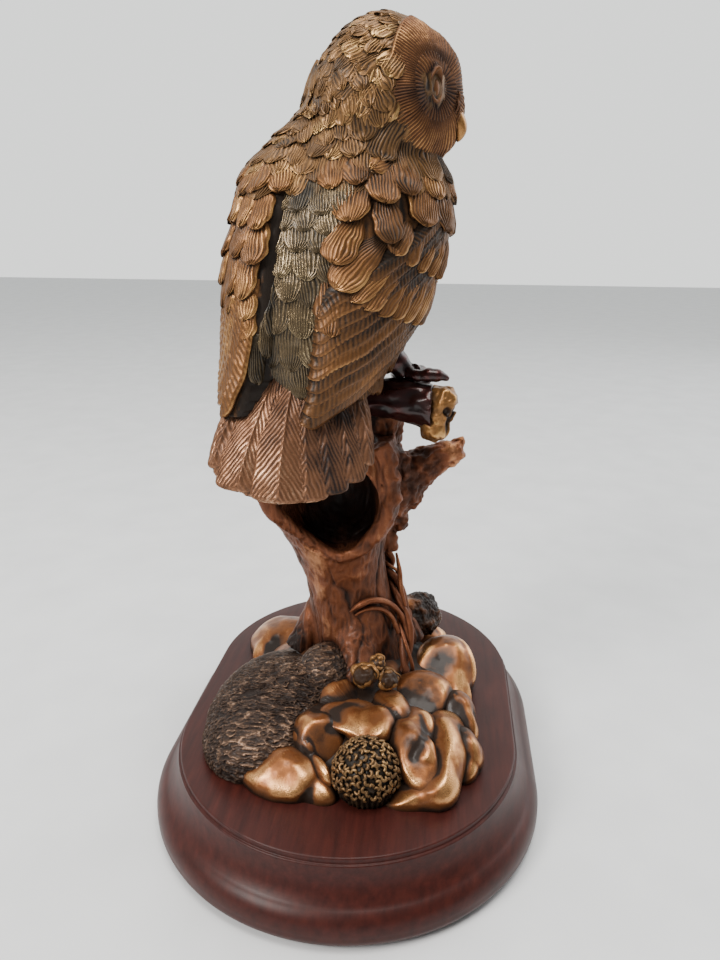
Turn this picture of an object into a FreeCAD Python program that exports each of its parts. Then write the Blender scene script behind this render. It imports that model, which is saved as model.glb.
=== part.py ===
"""Owl figurine: a cold-cast, copper-finished owl on a hollow stump with rocks, on a moulded wooden plinth.

Millimetres. +Z is up, +X runs along the plinth's long axis, and the owl looks towards -Y, the front.
The origin is the middle of the resting face, under the baize.

The plinth carries the ground casting, held by two screws from below, and a baize pad covers their heads.
A hollow stump stands in a socket of the ground with a steel rod up its core, and its fork limb carries
the perch branch. The owl sits on the branch, on steel pins. Boulders, moss, cones, cup fungi and ivy are
set into the ground and the stump. Nothing on the figurine moves.
"""
import FreeCAD
import Part
import Sketcher
import math
import os
import re

App = FreeCAD
Vector = App.Vector
Rotation = App.Rotation

doc = App.newDocument("owl_figurine")
sheet = doc.addObject("Spreadsheet::Sheet", "Sizes")

# ---------------------------------------------------------------- driving dimensions
CELLS = [
    # alias, value, meaning
    ("plinth_length", 160.0, "whole length of the plinth, along X"),
    ("plinth_width", 120.0, "whole width of the plinth, along Y"),
    ("plinth_top", 22.0, "height of the plinth's top face above the table"),
    ("top_inset", 8.1, "the top face stands in from the widest line by this"),
    ("lip_drop", 1.7, "height of the plain lip under the top face"),
    ("torus_height", 4.6, "height of the plinth's widest line"),
    ("foot_inset", 2.2, "the underside stands in from the widest line by this"),
    ("baize_thick", 1.0, "thickness of the baize pad"),
    ("baize_inset", 2.0, "the baize stands in from the plinth's underside by this"),
    ("screw_spacing", 54.0, "distance between the two fixing screws, along X"),
    ("screw_radius", 2.5, "outer radius of a fixing screw's thread"),
    ("screw_reach", 9.0, "a screw reaches this far above the plinth's top"),
    ("screw_head_radius", 4.7, "radius of the pan head"),
    ("screw_head_height", 3.1, "height of the pan head"),
    ("washer_radius", 6.0, "outer radius of a washer"),
    ("washer_thick", 1.2, "thickness of a washer"),
    ("counterbore_radius", 7.0, "radius of the counterbore in the plinth's underside"),
    ("counterbore_depth", 8.0, "depth of the counterbore"),
    ("hole_play", 0.3, "radial play round a screw's shank and in a washer"),
    ("ground_length", 88.0, "whole length of the ground casting"),
    ("ground_width", 70.0, "whole width of the ground casting"),
    ("ground_rise", 16.5, "height of the ground casting above the plinth's top"),
    ("trunk_radius", 13.8, "radius of the stump at its waist"),
    ("trunk_foot", 26.0, "height of the stump's underside, down in its socket"),
    ("rim_top", 112.0, "height of the stump's hollow top"),
    ("bowl_width", 42.0, "whole width of the hollow bowl at its widest"),
    ("hollow_width", 28.5, "width of the hollow"),
    ("hollow_height", 33.0, "height of the hollow"),
    ("rod_radius", 2.0, "radius of the steel rod in the stump's core"),
    ("rod_length", 44.0, "length of the steel rod in the stump's core"),
    ("branch_radius", 6.3, "radius of the perch branch"),
    ("branch_axis", 124.0, "height of the perch branch's axis"),
    ("branch_reach", 22.0, "the perch branch reaches this far to the front and to the back"),
    ("pin_radius", 1.5, "radius of a steel pin between the branch and the owl"),
    ("pin_length", 18.0, "length of a steel pin between the branch and the owl"),
    ("body_width", 57.0, "width of the owl's body without its wings"),
    ("body_depth", 53.0, "depth of the owl's body, back to breast"),
    ("body_base", 126.0, "height of the body's underside"),
    ("body_top", 201.0, "height of the neck, inside the head"),
    ("owl_head_width", 43.0, "width of the owl's head"),
    ("owl_head_height", 44.0, "height of the owl's head"),
    ("head_level", 204.0, "height of the head's middle"),
    ("tail_width", 47.0, "width of the spread tail at its widest"),
    ("tail_tip", 101.0, "height of the tail's lower edge"),
    ("eye_radius", 3.6, "radius of an eye"),
]
for row, (alias, value, meaning) in enumerate(CELLS, start=1):
    sheet.set(f"A{row}", alias)
    sheet.set(f"B{row}", str(value))
    sheet.set(f"C{row}", meaning)
    sheet.setAlias(f"B{row}", alias)
doc.recompute()
SIZE = {alias: value for alias, value, meaning in CELLS}
NAMES = re.compile(r"\b(" + "|".join(sorted(SIZE, key=len, reverse=True)) + r")\b")

OWL_TURN = -20.0      # degrees from +X: where the owl's breast points
FACE_TURN = -101.0    # degrees from +X: where the owl's face points
TAIL_TURN = 12.0      # degrees from +X: away from where the tail's upper face points
NODES = {}            # node name -> document object


# ---------------------------------------------------------------- helpers
def cells(expression):
    """An expression with each cell's alias spelled out as the sheet's."""
    return NAMES.sub(r"Sizes.\1", str(expression))


def bind(obj, **sizes):
    """Ties each property of obj to an expression of the sheet's cells."""
    for prop, expression in sizes.items():
        obj.setExpression(prop.replace("__", "."), cells(expression))
    return obj


def place(obj, x, y, z, rotation=Rotation()):
    """Places obj, its position tied to expressions of the sheet's cells."""
    obj.Placement = App.Placement(Vector(0, 0, 0), rotation)
    return bind(obj, Placement__Base__x=x, Placement__Base__y=y, Placement__Base__z=z)


def turned(degrees):
    """A turn about Z."""
    return Rotation(Vector(0, 0, 1), degrees)


def toward(x, y, z):
    """The turn that points an object's own Z along (x, y, z)."""
    return Rotation(Vector(0, 0, 1), Vector(x, y, z))


def node(name, obj):
    """Makes obj a sub-part of that name."""
    obj.Label = name
    NODES[name] = obj
    return obj


def ellipsoid(name, centre, along, across, tall, rotation=Rotation()):
    """A closed ellipsoid with those half lengths along its own X, Y and Z."""
    obj = doc.addObject("Part::Ellipsoid", name)
    obj.Angle1 = -90
    obj.Angle2 = 90
    obj.Angle3 = 360
    bind(obj, Radius1=tall, Radius2=along, Radius3=across)
    return place(obj, *centre, rotation)


def cylinder(name, foot, radius, height, rotation=Rotation()):
    """A cylinder that stands on foot, along its own Z."""
    obj = doc.addObject("Part::Cylinder", name)
    bind(obj, Radius=radius, Height=height)
    return place(obj, *foot, rotation)


def box(name, corner, length, width, height):
    obj = doc.addObject("Part::Box", name)
    bind(obj, Length=length, Width=width, Height=height)
    return place(obj, *corner)


def ring(name, centre, wide, deep, rotation):
    """An ellipse, wide along its own X and never deeper than wide."""
    obj = doc.addObject("Part::Ellipse", name)
    bind(obj, MajorRadius=wide, MinorRadius=deep)
    return place(obj, *centre, rotation)


def loft(name, rings):
    obj = doc.addObject("Part::Loft", name)
    obj.Sections = rings
    obj.Solid = True
    return obj


def fuse(name, shapes):
    obj = doc.addObject("Part::MultiFuse", name)
    obj.Shapes = shapes
    return obj


def common(name, base, tool):
    obj = doc.addObject("Part::MultiCommon", name)
    obj.Shapes = [base, tool]
    return obj


def cut(name, base, tools):
    """base less each tool."""
    for k, tool in enumerate(tools):
        obj = doc.addObject("Part::Cut", f"{name}_less_{k}")
        obj.Base = base
        obj.Tool = tool
        base = obj
    return base


def group(name, shapes):
    """Identical pieces that share one node."""
    obj = doc.addObject("Part::Compound", f"{name}_group")
    obj.Links = shapes
    return node(name, obj)


# ---------------------------------------------------------------- plinth
def plane_of(body, role):
    """An origin plane of a PartDesign body."""
    return next(f for f in body.Origin.OriginFeatures if f.Role == role)


def new_sketch(body, name, role):
    sketch = body.newObject("Sketcher::SketchObject", name)
    sketch.AttachmentSupport = (plane_of(body, role), [""])
    sketch.MapMode = "FlatFace"
    return sketch


def closed_outline(sketch, edges):
    """Adds one closed outline, each edge joined to the next where their ends meet."""
    for edge in edges:
        sketch.addGeometry(edge, False)
    for k in range(len(edges)):
        following = (k + 1) % len(edges)
        ends = [(a, b) for a in (1, 2) for b in (1, 2)]
        gap, here, there = min((sketch.getPoint(k, a).distanceToPoint(sketch.getPoint(following, b)), a, b)
                               for a, b in ends)
        sketch.addConstraint(Sketcher.Constraint("Coincident", k, here, following, there))


def moulding_points():
    """The plinth's half section, as points (out from the middle line, up)."""
    edge = SIZE["plinth_width"] / 2
    foot = SIZE["baize_thick"]
    top = SIZE["plinth_top"]
    widest = SIZE["torus_height"]
    lip = edge - SIZE["top_inset"]
    round_over = 0.5
    quirk = lip + 0.7
    return {
        "middle_low": (0.0, foot),
        "foot": (edge - SIZE["foot_inset"], foot),
        "foot_bulge": (edge - 0.45, foot + 1.3),
        "widest": (edge, widest),
        "shoulder": (edge - 0.8, widest + 3.6),
        "torus_end": (edge - 3.4, widest + 6.2),
        "cove": (quirk + 0.9, widest + 10.8),
        "quirk": (quirk, top - SIZE["lip_drop"]),
        "lip_foot": (lip, top - SIZE["lip_drop"]),
        "lip": (lip, top - round_over),
        "arris": (lip - 0.15, top - 0.15),
        "top": (lip - round_over, top),
        "middle_high": (0.0, top),
    }


def moulding_outline(side):
    """The half section on that side of the middle line, 1 or -1, as a closed run of edges."""
    at = {name: Vector(side * out, up, 0) for name, (out, up) in moulding_points().items()}

    def line(a, b):
        return Part.LineSegment(at[a], at[b])

    def arc(a, through, b):
        return Part.Arc(at[a], at[through], at[b])

    return [
        line("middle_low", "foot"),
        arc("foot", "foot_bulge", "widest"),
        arc("widest", "shoulder", "torus_end"),
        arc("torus_end", "cove", "quirk"),
        line("quirk", "lip_foot"),
        line("lip_foot", "lip"),
        arc("lip", "arris", "top"),
        line("top", "middle_high"),
        line("middle_high", "middle_low"),
    ]


def screw_circles(body, name, radius):
    """A sketch of one circle at each fixing screw."""
    sketch = new_sketch(body, name, "XY_Plane")
    for k, side in enumerate((-1, 1)):
        at = Vector(side * SIZE["screw_spacing"] / 2, 0, 0)
        sketch.addGeometry(Part.Circle(at, Vector(0, 0, 1), 3.0), False)
        wide = sketch.addConstraint(Sketcher.Constraint("Radius", k, 3.0))
        along = sketch.addConstraint(Sketcher.Constraint("DistanceX", -1, 1, k, 3, at.x))
        sketch.addConstraint(Sketcher.Constraint("PointOnObject", k, 3, -1))
        sketch.renameConstraint(wide, f"wide_{k}")
        sketch.renameConstraint(along, f"along_{k}")
        sketch.setExpression(f"Constraints.wide_{k}", cells(radius))
        sketch.setExpression(f"Constraints.along_{k}", cells(f"{side} * screw_spacing / 2"))
    return sketch


def make_plinth():
    """The moulding run straight along both sides and half a turn round each end."""
    body = doc.addObject("PartDesign::Body", "plinth_body")
    section = new_sketch(body, "moulding_section", "YZ_Plane")
    closed_outline(section, moulding_outline(1))
    straight = body.newObject("PartDesign::Pad", "plinth_straight")
    straight.Profile = section
    straight.Midplane = True
    bind(straight, Length="plinth_length - plinth_width")
    doc.recompute()
    both = body.newObject("PartDesign::Mirrored", "plinth_both_sides")
    both.Originals = [straight]
    both.MirrorPlane = (plane_of(body, "XZ_Plane"), [""])
    body.Tip = both
    doc.recompute()
    for side, name in ((1, "far"), (-1, "near")):
        end = new_sketch(body, f"moulding_{name}", "YZ_Plane")
        bind(end, AttachmentOffset__Base__z=f"{side} * (plinth_length - plinth_width) / 2")
        closed_outline(end, moulding_outline(1))
        doc.recompute()
        turn = body.newObject("PartDesign::Revolution", f"plinth_end_{name}")
        turn.Profile = end
        turn.ReferenceAxis = (end, ["V_Axis"])
        turn.Angle = 180
        turn.Reversed = side > 0
        body.Tip = turn
        doc.recompute()
    solid = body.Shape.Volume
    seats = body.newObject("PartDesign::Pocket", "screw_seats")
    seats.Profile = screw_circles(body, "seat_circles", "counterbore_radius")
    seats.Reversed = True
    bind(seats, Length="baize_thick + counterbore_depth")
    doc.recompute()
    shank_holes = body.newObject("PartDesign::Pocket", "shank_holes")
    shank_holes.Profile = screw_circles(body, "shank_circles", "screw_radius + hole_play")
    shank_holes.Reversed = True
    bind(shank_holes, Length="plinth_top + 1")
    doc.recompute()
    if solid - body.Shape.Volume < 2000:
        raise RuntimeError("the plinth's screw holes cut too little")
    return node("plinth", body)


def make_baize():
    """A flat pad with straight sides and round ends."""
    inset = "2 * (foot_inset + baize_inset)"
    width = f"(plinth_width - {inset})"
    straight = "(plinth_length - plinth_width)"
    middle = box("baize_middle", (f"-{straight} / 2", f"-{width} / 2", 0), straight, width, "baize_thick")
    ends = [cylinder(f"baize_end_{k}", (f"{side} * {straight} / 2", 0, 0), f"{width} / 2", "baize_thick")
            for k, side in enumerate((-1, 1))]
    return node("baize_pad", fuse("baize", [middle] + ends))


def make_screws():
    """Two pan-head screws and their washers, seated in the plinth's counterbores."""
    seat = "(baize_thick + counterbore_depth)"
    shoulder = f"({seat} - washer_thick)"
    screws = []
    washers = []
    for k, side in enumerate((-1, 1)):
        x = f"{side} * screw_spacing / 2"
        head = cylinder(f"screw_head_{k}", (x, 0, f"{shoulder} - screw_head_height"),
                        "screw_head_radius", "screw_head_height")
        shank = cylinder(f"screw_shank_{k}", (x, 0, shoulder), "screw_radius",
                         f"plinth_top + screw_reach - {shoulder}")
        drive = cylinder(f"screw_drive_{k}", (x, 0, f"{shoulder} - screw_head_height"), 1.6, 1.8)
        doc.recompute()
        low = [i for i, edge in enumerate(head.Shape.Edges, start=1)
               if edge.Closed and edge.BoundBox.ZMax < head.Shape.CenterOfMass.z]
        pan = doc.addObject("Part::Fillet", f"screw_pan_{k}")
        pan.Base = head
        pan.Edges = [(i, 1.4, 1.4) for i in low]
        screws.append(cut(f"screw_{k}", fuse(f"screw_blank_{k}", [pan, shank]), [drive]))
        disc = cylinder(f"washer_disc_{k}", (x, 0, shoulder), "washer_radius", "washer_thick")
        eye = cylinder(f"washer_eye_{k}", (x, 0, f"{shoulder} - 1"), "screw_radius + hole_play",
                       "washer_thick + 2")
        washers.append(cut(f"washer_{k}", disc, [eye]))
    group("fixing_screws", screws)
    group("screw_washers", washers)


# ---------------------------------------------------------------- stump, limbs and perch
def stump_outside():
    """The stump as a loft of level ellipses: spread foot, waist, and a bowl at the top."""
    bowl = "bowl_width / 2"
    stations = [
        # height, middle x, middle y, half width across, half width along X
        ("trunk_foot", 6.0, 0.0, "trunk_radius * 1.30", "trunk_radius * 1.20"),
        ("trunk_foot + 9", 5.5, 0.0, "trunk_radius * 1.13", "trunk_radius * 1.05"),
        ("trunk_foot + 27", 5.0, 2.0, "trunk_radius * 1.03", "trunk_radius * 0.95"),
        ("trunk_foot + 41", 4.0, 5.0, "trunk_radius * 1.00", "trunk_radius * 0.94"),
        ("trunk_foot + 53", 2.5, 7.5, "trunk_radius * 1.20", "trunk_radius * 1.08"),
        ("trunk_foot + 66", 1.0, 9.0, bowl, "trunk_radius * 1.30"),
        ("trunk_foot + 78", 1.5, 7.5, f"{bowl} * 0.95", "trunk_radius * 1.28"),
        ("rim_top", 2.5, 5.5, f"{bowl} * 0.80", "trunk_radius * 1.10"),
    ]
    return loft("stump_outside", [ring(f"stump_ring_{k}", (x, y, z), across, along, turned(90))
                                  for k, (z, x, y, across, along) in enumerate(stations)])


def stump_hollows():
    """The hollow that opens to -X, and the broken open top above it."""
    side = ellipsoid("side_hollow", (-9.5, 6.5, "rim_top - 18.5"), 17.5, "hollow_width / 2",
                     "hollow_height / 2", Rotation(Vector(0, 1, 0), 12))
    top = ellipsoid("top_hollow", (-2.5, 5.5, "rim_top + 1"), 12, "hollow_width * 0.40", 14)
    return [side, top]


def limb(name, stations, rotation):
    """A loft of ellipses that all face along the limb."""
    return loft(name, [ring(f"{name}_ring_{k}", (x, y, z), wide, deep, rotation)
                       for k, (x, y, z, wide, deep) in enumerate(stations)])


def fork_limb():
    """The living limb that rises behind the hollow and carries the perch branch."""
    return limb("fork", [
        (13.0, -3.0, 94.0, 6.8, 6.2),
        (12.5, -5.5, 105.0, 6.2, 5.8),
        (9.5, -7.0, 114.0, 6.0, 5.6),
        (6.0, -8.0, 122.0, 5.8, 5.4),
    ], turned(90))


def broken_limb():
    """The broken spike that leaves the stump's top towards the front."""
    return limb("spike", [
        (8.0, -4.0, 90.0, 14.0, 9.0),
        (9.0, -13.0, 96.0, 10.0, 7.0),
        (9.0, -21.0, 101.5, 6.0, 5.0),
        (8.5, -28.0, 106.8, 3.4, 2.8),
        (8.0, -32.5, 110.4, 1.2, 1.0),
    ], Rotation(Vector(1, 0, 0), 74) * turned(90))


def perch_branch():
    stations = [
        # Y as a share of its reach, x, rise of the axis, share of the branch's radius
        (1.00, 5.0, -1.5, 0.70),
        (0.55, 4.5, -0.5, 0.92),
        (0.00, 3.5, 0.3, 1.00),
        (-0.45, 2.0, 0.2, 1.02),
        (-0.82, 1.0, -1.0, 1.10),
        (-1.00, 0.5, -2.2, 1.22),
    ]
    return limb("branch", [(x, f"branch_reach * {share}", f"branch_axis + {rise}", f"branch_radius * {wide}",
                            f"branch_radius * {wide} - 0.3") for share, x, rise, wide in stations],
                Rotation(Vector(1, 0, 0), 90))


def ivy_stem(trunk):
    """A woody ivy stem that climbs the front of the stump, on a smooth path beside its surface."""
    path = [Vector(-7, -17, 36), Vector(-1.5, -16.5, 46), Vector(6, -13.8, 55), Vector(11, -10.5, 64),
            Vector(13.5, -9.0, 74), Vector(14.0, -8.0, 84)]
    curve = Part.BSplineCurve()
    curve.interpolate(path)
    spine = doc.addObject("Part::Feature", "ivy_path")
    spine.Shape = curve.toShape()
    start = doc.addObject("Part::Circle", "ivy_circle")
    start.Radius = 2.4
    start.Placement = App.Placement(path[0], Rotation(Vector(0, 0, 1), curve.tangent(0.0)[0]))
    stem = doc.addObject("Part::Sweep", "ivy_sweep")
    stem.Sections = [start]
    stem.Spine = (spine, ["Edge1"])
    stem.Solid = True
    stem.Frenet = False
    return stem


# ---------------------------------------------------------------- ground
BOULDERS = {
    # name: middle, half lengths along, across and up, turn about Z
    "near_left_boulder": ((-46.5, 13.5, 25.0), (10.5, 14.0, 7.5), -12),
    "centre_boulder": ((-32.0, -3.0, 30.0), (12.0, 16.0, 10.5), 10),
    "near_right_boulder": ((-38.0, -24.5, 26.5), (15.0, 9.5, 9.5), 25),
    "right_boulder": ((-22.0, -34.0, 26.0), (13.0, 7.5, 9.5), 8),
    "middle_right_boulder": ((-13.0, -23.0, 32.5), (9.5, 9.5, 7.0), -15),
    "far_right_boulder": ((8.0, -31.0, 27.5), (15.0, 10.5, 11.5), -10),
    "far_left_boulder": ((27.0, 29.0, 26.5), (14.0, 15.0, 9.0), 20),
    "back_boulder": ((37.0, 4.0, 26.5), (11.0, 16.0, 9.5), -8),
    "back_right_boulder": ((31.0, -19.0, 26.0), (12.0, 12.0, 8.5), 30),
}


def make_ground(trunk, rod, ivy):
    """The ground casting, and the boulders, cones, fungi and moss bonded on it."""
    sky = box("above_plinth", ("-plinth_length", "-plinth_width", "plinth_top"),
              "2 * plinth_length", "2 * plinth_width", 300)
    # share of the rise, share of the width
    stations = [(0.0, 1.0), (0.35, 0.97), (0.65, 0.84), (0.87, 0.60), (1.0, 0.30)]
    dome = loft("ground_dome", [
        ring(f"ground_ring_{k}", (-3.0, 1.0, f"plinth_top + ground_rise * {up}"),
             f"ground_length / 2 * {share}", f"ground_width / 2 * {share}", Rotation())
        for k, (up, share) in enumerate(stations)])
    pilots = [cylinder(f"pilot_{k}", (f"{side} * screw_spacing / 2", 0, "plinth_top - 1"), "screw_radius",
                       "screw_reach + 1") for k, side in enumerate((-1, 1))]
    node("ground_casting", cut("ground", dome, [trunk, rod] + pilots))

    cone = common("cone_up", ellipsoid("cone_whole", (-46.5, -8.5, 28.5), 9.6, 9.4, 9.2), sky)
    rear_cone = ellipsoid("rear_cone_whole", (23.0, -20.5, 38.0), 9.0, 8.5, 10.5)
    settled = [dome, trunk, ivy]
    node("pine_cone", cut("cone", cone, settled))
    settled.append(cone)
    node("rear_cone", cut("rear_cone", rear_cone, settled))
    settled.append(rear_cone)
    for name, (middle, (along, across, tall), turn) in BOULDERS.items():
        whole = ellipsoid(f"{name}_whole", middle, along, across, tall, turned(turn))
        rock = common(f"{name}_up", whole, sky)
        node(name, cut(name, rock, settled))
        settled.append(rock)
    mound = ellipsoid("moss_whole", (-19.0, 23.5, 24.0), 31, 21.5, 15, turned(-3))
    node("moss_mound", cut("moss", common("moss_up", mound, sky), settled))
    settled.append(mound)
    cups = []
    for k, (x, y, z, radius, lean) in enumerate([(-19.0, -5.5, 43.0, 4.6, -12), (-19.5, -14.0, 41.5, 4.2, 14)]):
        tilt = Rotation(Vector(1, 0, 0), lean)
        bulb = ellipsoid(f"cup_bulb_{k}", (x, y, z), radius, radius, radius * 0.9, tilt)
        dish = ellipsoid(f"cup_dish_{k}", (x, y, z + radius * 0.95), radius * 0.66, radius * 0.66, 2.2, tilt)
        cups.append(cut(f"cup_{k}", bulb, [dish] + settled))
    group("cup_fungi", cups)


# ---------------------------------------------------------------- owl
BODY = [
    # share of the height, middle x, middle y, share of the width, share of the depth
    (0.00, -7.0, 12.0, 0.56, 0.50),
    (0.09, -4.5, 12.0, 0.76, 0.72),
    (0.24, -1.0, 11.0, 0.93, 0.92),
    (0.42, 1.5, 10.0, 1.00, 1.00),
    (0.60, 3.0, 8.0, 1.00, 0.99),
    (0.76, 3.5, 5.5, 0.94, 0.90),
    (0.90, 4.0, 1.5, 0.78, 0.76),
    (1.00, 4.5, -3.0, 0.60, 0.60),
]


WINGS = {
    # height, middle x, middle y, half width, half thickness, down the wing from shoulder to tip
    "right_wing": (-45, [
        (188.0, -2.0, -12.0, 9.0, 5.5),
        (178.0, -6.0, -10.5, 17.0, 8.5),
        (162.0, -8.5, -8.5, 21.5, 10.0),
        (148.0, -12.0, -5.5, 20.0, 10.0),
        (136.0, -17.0, -0.5, 15.0, 8.0),
        (127.0, -23.5, 6.0, 8.0, 4.5),
        (121.5, -27.0, 10.0, 3.5, 2.5),
    ]),
    "left_wing": (10, [
        (188.0, -2.0, 20.0, 9.0, 5.5),
        (178.0, -3.0, 24.5, 16.0, 8.5),
        (162.0, -3.0, 29.0, 21.5, 11.5),
        (148.0, -5.0, 30.5, 21.0, 11.0),
        (136.0, -12.0, 32.0, 15.0, 7.5),
        (128.0, -20.0, 32.5, 8.0, 4.5),
        (123.0, -25.0, 33.0, 3.5, 2.5),
    ]),
}


def heading(degrees):
    """A level direction, in degrees from +X."""
    return Vector(math.cos(math.radians(degrees)), math.sin(math.radians(degrees)), 0)


def level_rings(name, stations, turn):
    """A loft of level ellipses, wide along that turn."""
    return loft(f"{name}_loft", [ring(f"{name}_ring_{k}", (x, y, z), wide, thick, turned(turn))
                                 for k, (z, x, y, wide, thick) in enumerate(stations)])


def owl_torso():
    rise = "body_base + (body_top - body_base)"
    return level_rings("torso", [(f"{rise} * {up}", x, y, f"body_width / 2 * {wide}", f"body_depth / 2 * {deep}")
                                 for up, x, y, wide, deep in BODY], OWL_TURN + 90)


def owl_head():
    """The head's parts: skull, facial disc, eyes and beak, all turned the way the face looks."""
    look = heading(FACE_TURN)
    side = Vector(-look.y, look.x, 0)
    middle = Vector(4.0, -5.0, 0)
    skull = ellipsoid("skull_whole", (middle.x, middle.y, "head_level"), "owl_head_width / 2",
                      "owl_head_width / 2 - 0.5", "owl_head_height / 2")
    seat = middle + look * 8.0
    disc = ellipsoid("disc_whole", (seat.x, seat.y, "head_level - 1"), "owl_head_width * 0.33",
                     "owl_head_width * 0.43", "owl_head_height * 0.45", turned(FACE_TURN))
    eyes = []
    for k, step in enumerate((-9.0, 9.0)):
        at = middle + look * 16.5 + side * step
        eyes.append(ellipsoid(f"eye_{k}", (at.x, at.y, "head_level + 3.5"), "eye_radius", "eye_radius",
                              "eye_radius"))
    tip = middle + look * 21.0
    beak = ellipsoid("beak_whole", (tip.x, tip.y, "head_level - 3"), 3.6, 2.4, 5.2,
                     turned(FACE_TURN) * Rotation(Vector(0, 1, 0), -12))
    return skull, disc, eyes, beak


def owl_tail():
    """A thick fan that widens downwards, its lower edge rounded."""
    fan = level_rings("fan", [
        ("body_base + 9", -13.0, 13.0, "tail_width * 0.32", 7.0),
        ("body_base", -18.5, 14.0, "tail_width * 0.40", 6.5),
        ("tail_tip + 11", -25.5, 15.0, "tail_width * 0.48", 5.0),
        ("tail_tip", -29.5, 15.5, "tail_width * 0.49", 3.5),
    ], TAIL_TURN + 90)
    rounding = cylinder("fan_rounding", (-80, 15.5, "tail_tip + 27"), 27, 80, toward(1, 0, 0))
    above = box("fan_above", (-80, -40, "tail_tip + 27"), 100, 110, 60)
    return common("fan_rounded", fan, fuse("fan_limits", [rounding, above]))


def owl_foot(name, x, y):
    """A feathered shin with three toes over the branch and one behind it."""
    top = "branch_axis + branch_radius"
    toes = [ellipsoid(f"{name}_toe_{k}", (x + 5.0, y + step, f"{top} - 1.0"), 8.0, 1.9, 2.3,
                      turned(turn) * Rotation(Vector(0, 1, 0), 28))
            for k, (step, turn) in enumerate(((-3.8, -14), (0.0, 0), (3.8, 14)))]
    back_toe = ellipsoid(f"{name}_back_toe", (x - 5.5, y, f"{top} - 0.4"), 4.8, 1.9, 2.3,
                         Rotation(Vector(0, 1, 0), -24))
    shin = ellipsoid(f"{name}_shin", (x, y + 1.0, f"{top} + 3.5"), 4.6, 4.6, 6.0)
    return fuse(f"{name}_whole", toes + [back_toe, shin])


def make_owl(holders, pins):
    """The owl. holders are what it sits on, which its pieces stay clear of."""
    torso = owl_torso()
    skull, disc, eyes, beak = owl_head()
    feet = []
    for name, x, y in (("right_foot", 3.0, -15.0), ("left_foot", 4.5, 7.0)):
        foot = owl_foot(name, x, y)
        node(name, cut(name, foot, holders + pins))
        feet.append(foot)
    belly_clear = box("belly_clear", (2, -60, 100), 80, 120, "branch_axis + branch_radius + 1 - 100")
    node("owl_body", cut("torso_seated", torso, holders + feet + pins + [belly_clear]))
    node("owl_head", cut("skull", skull, [torso] + eyes))
    node("facial_disc", cut("disc", disc, [skull, torso] + eyes))
    group("eyes", eyes)
    node("beak", cut("beak", beak, [disc, skull, torso] + eyes))
    wings = []
    for name, (turn, stations) in WINGS.items():
        wing = level_rings(name, stations, turn)
        node(name, cut(name, wing, [torso, skull, disc] + holders))
        wings.append(wing)
    node("tail", cut("tail", owl_tail(), [torso] + wings + holders))


def main():
    make_plinth()
    make_baize()
    make_screws()

    outside = stump_outside()
    rod = cylinder("core_rod", (6.0, 0.5, "trunk_foot - 3"), "rod_radius", "rod_length", toward(-0.03, 0.06, 1))
    ivy = ivy_stem(outside)
    fork = fork_limb()
    perch = perch_branch()
    pins = [cylinder(f"perch_pin_{k}", (x, y, "branch_axis - 4"), "pin_radius", "pin_length")
            for k, (x, y) in enumerate(((3.0, -2.0), (4.5, 14.0)))]
    node("stump", cut("stump", outside, stump_hollows() + [rod]))
    node("stump_rod", rod)
    node("ivy_stem", cut("ivy", ivy, [outside]))
    node("fork_limb", cut("fork", fork, [outside, perch]))
    node("broken_limb", cut("spike", broken_limb(), [outside, fork, ivy]))
    burl = ellipsoid("burl_whole", (0.5, "-branch_reach - 2", "branch_axis - 3.3"), 6.4, 4.8, 9.0,
                     Rotation(Vector(1, 0, 0), -8))
    node("branch_burl", cut("burl", burl, [perch]))
    node("perch_branch", cut("perch", perch, pins))
    group("perch_pins", pins)
    make_ground(outside, rod, ivy)
    make_owl([perch, fork, outside], pins)
    doc.recompute()

    for obj in doc.Objects:
        if "Invalid" in obj.State or "Error" in obj.State:
            raise RuntimeError(f"{obj.Name} is {obj.State}")
    os.makedirs("parts", exist_ok=True)
    for name, obj in NODES.items():
        shape = obj.Shape
        if shape.isNull() or not shape.isValid():
            raise RuntimeError(f"{name} has no valid shape")
        print(f"{name:22s} {len(shape.Solids)} solids {shape.Volume:9.0f} mm3")
        shape.exportStep(f"parts/{name}.step")


main()
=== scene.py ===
"""Looks of the owl figurine: a cold-cast copper owl on a stump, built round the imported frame.

Lengths are millimetres in the frame's axes until a mesh is made, which is in metres. The owl's back, the
stump's hollow and the near rocks face -X, where the camera stands; its face looks to -Y.
"""

import math

import bpy
import numpy as np
from mathutils import Matrix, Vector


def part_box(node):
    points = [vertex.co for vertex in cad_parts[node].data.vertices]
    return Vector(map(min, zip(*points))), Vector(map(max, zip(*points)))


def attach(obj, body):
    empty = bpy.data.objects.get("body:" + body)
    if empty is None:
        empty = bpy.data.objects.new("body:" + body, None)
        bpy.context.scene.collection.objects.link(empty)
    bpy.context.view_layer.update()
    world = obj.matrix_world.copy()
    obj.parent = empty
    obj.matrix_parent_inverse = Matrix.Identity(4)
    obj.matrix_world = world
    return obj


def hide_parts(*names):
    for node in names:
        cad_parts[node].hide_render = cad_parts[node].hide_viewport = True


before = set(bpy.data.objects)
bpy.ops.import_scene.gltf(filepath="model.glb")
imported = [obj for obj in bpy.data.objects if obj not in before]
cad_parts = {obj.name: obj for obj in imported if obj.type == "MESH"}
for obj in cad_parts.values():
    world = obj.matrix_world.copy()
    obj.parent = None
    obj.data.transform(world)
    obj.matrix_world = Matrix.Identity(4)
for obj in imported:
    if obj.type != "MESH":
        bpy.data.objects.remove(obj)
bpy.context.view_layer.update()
MM = 0.001
ROUND = 2 * math.pi
SPIRAL_STEP = math.pi * (3 - math.sqrt(5))    # the turn between neighbours on an evenly filled spiral
RANDOM = np.random.RandomState(7)


def box_mm(node):
    """A node's lowest and highest corners, in millimetres."""
    low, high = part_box(node)
    return np.array(low) / MM, np.array(high) / MM


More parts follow.
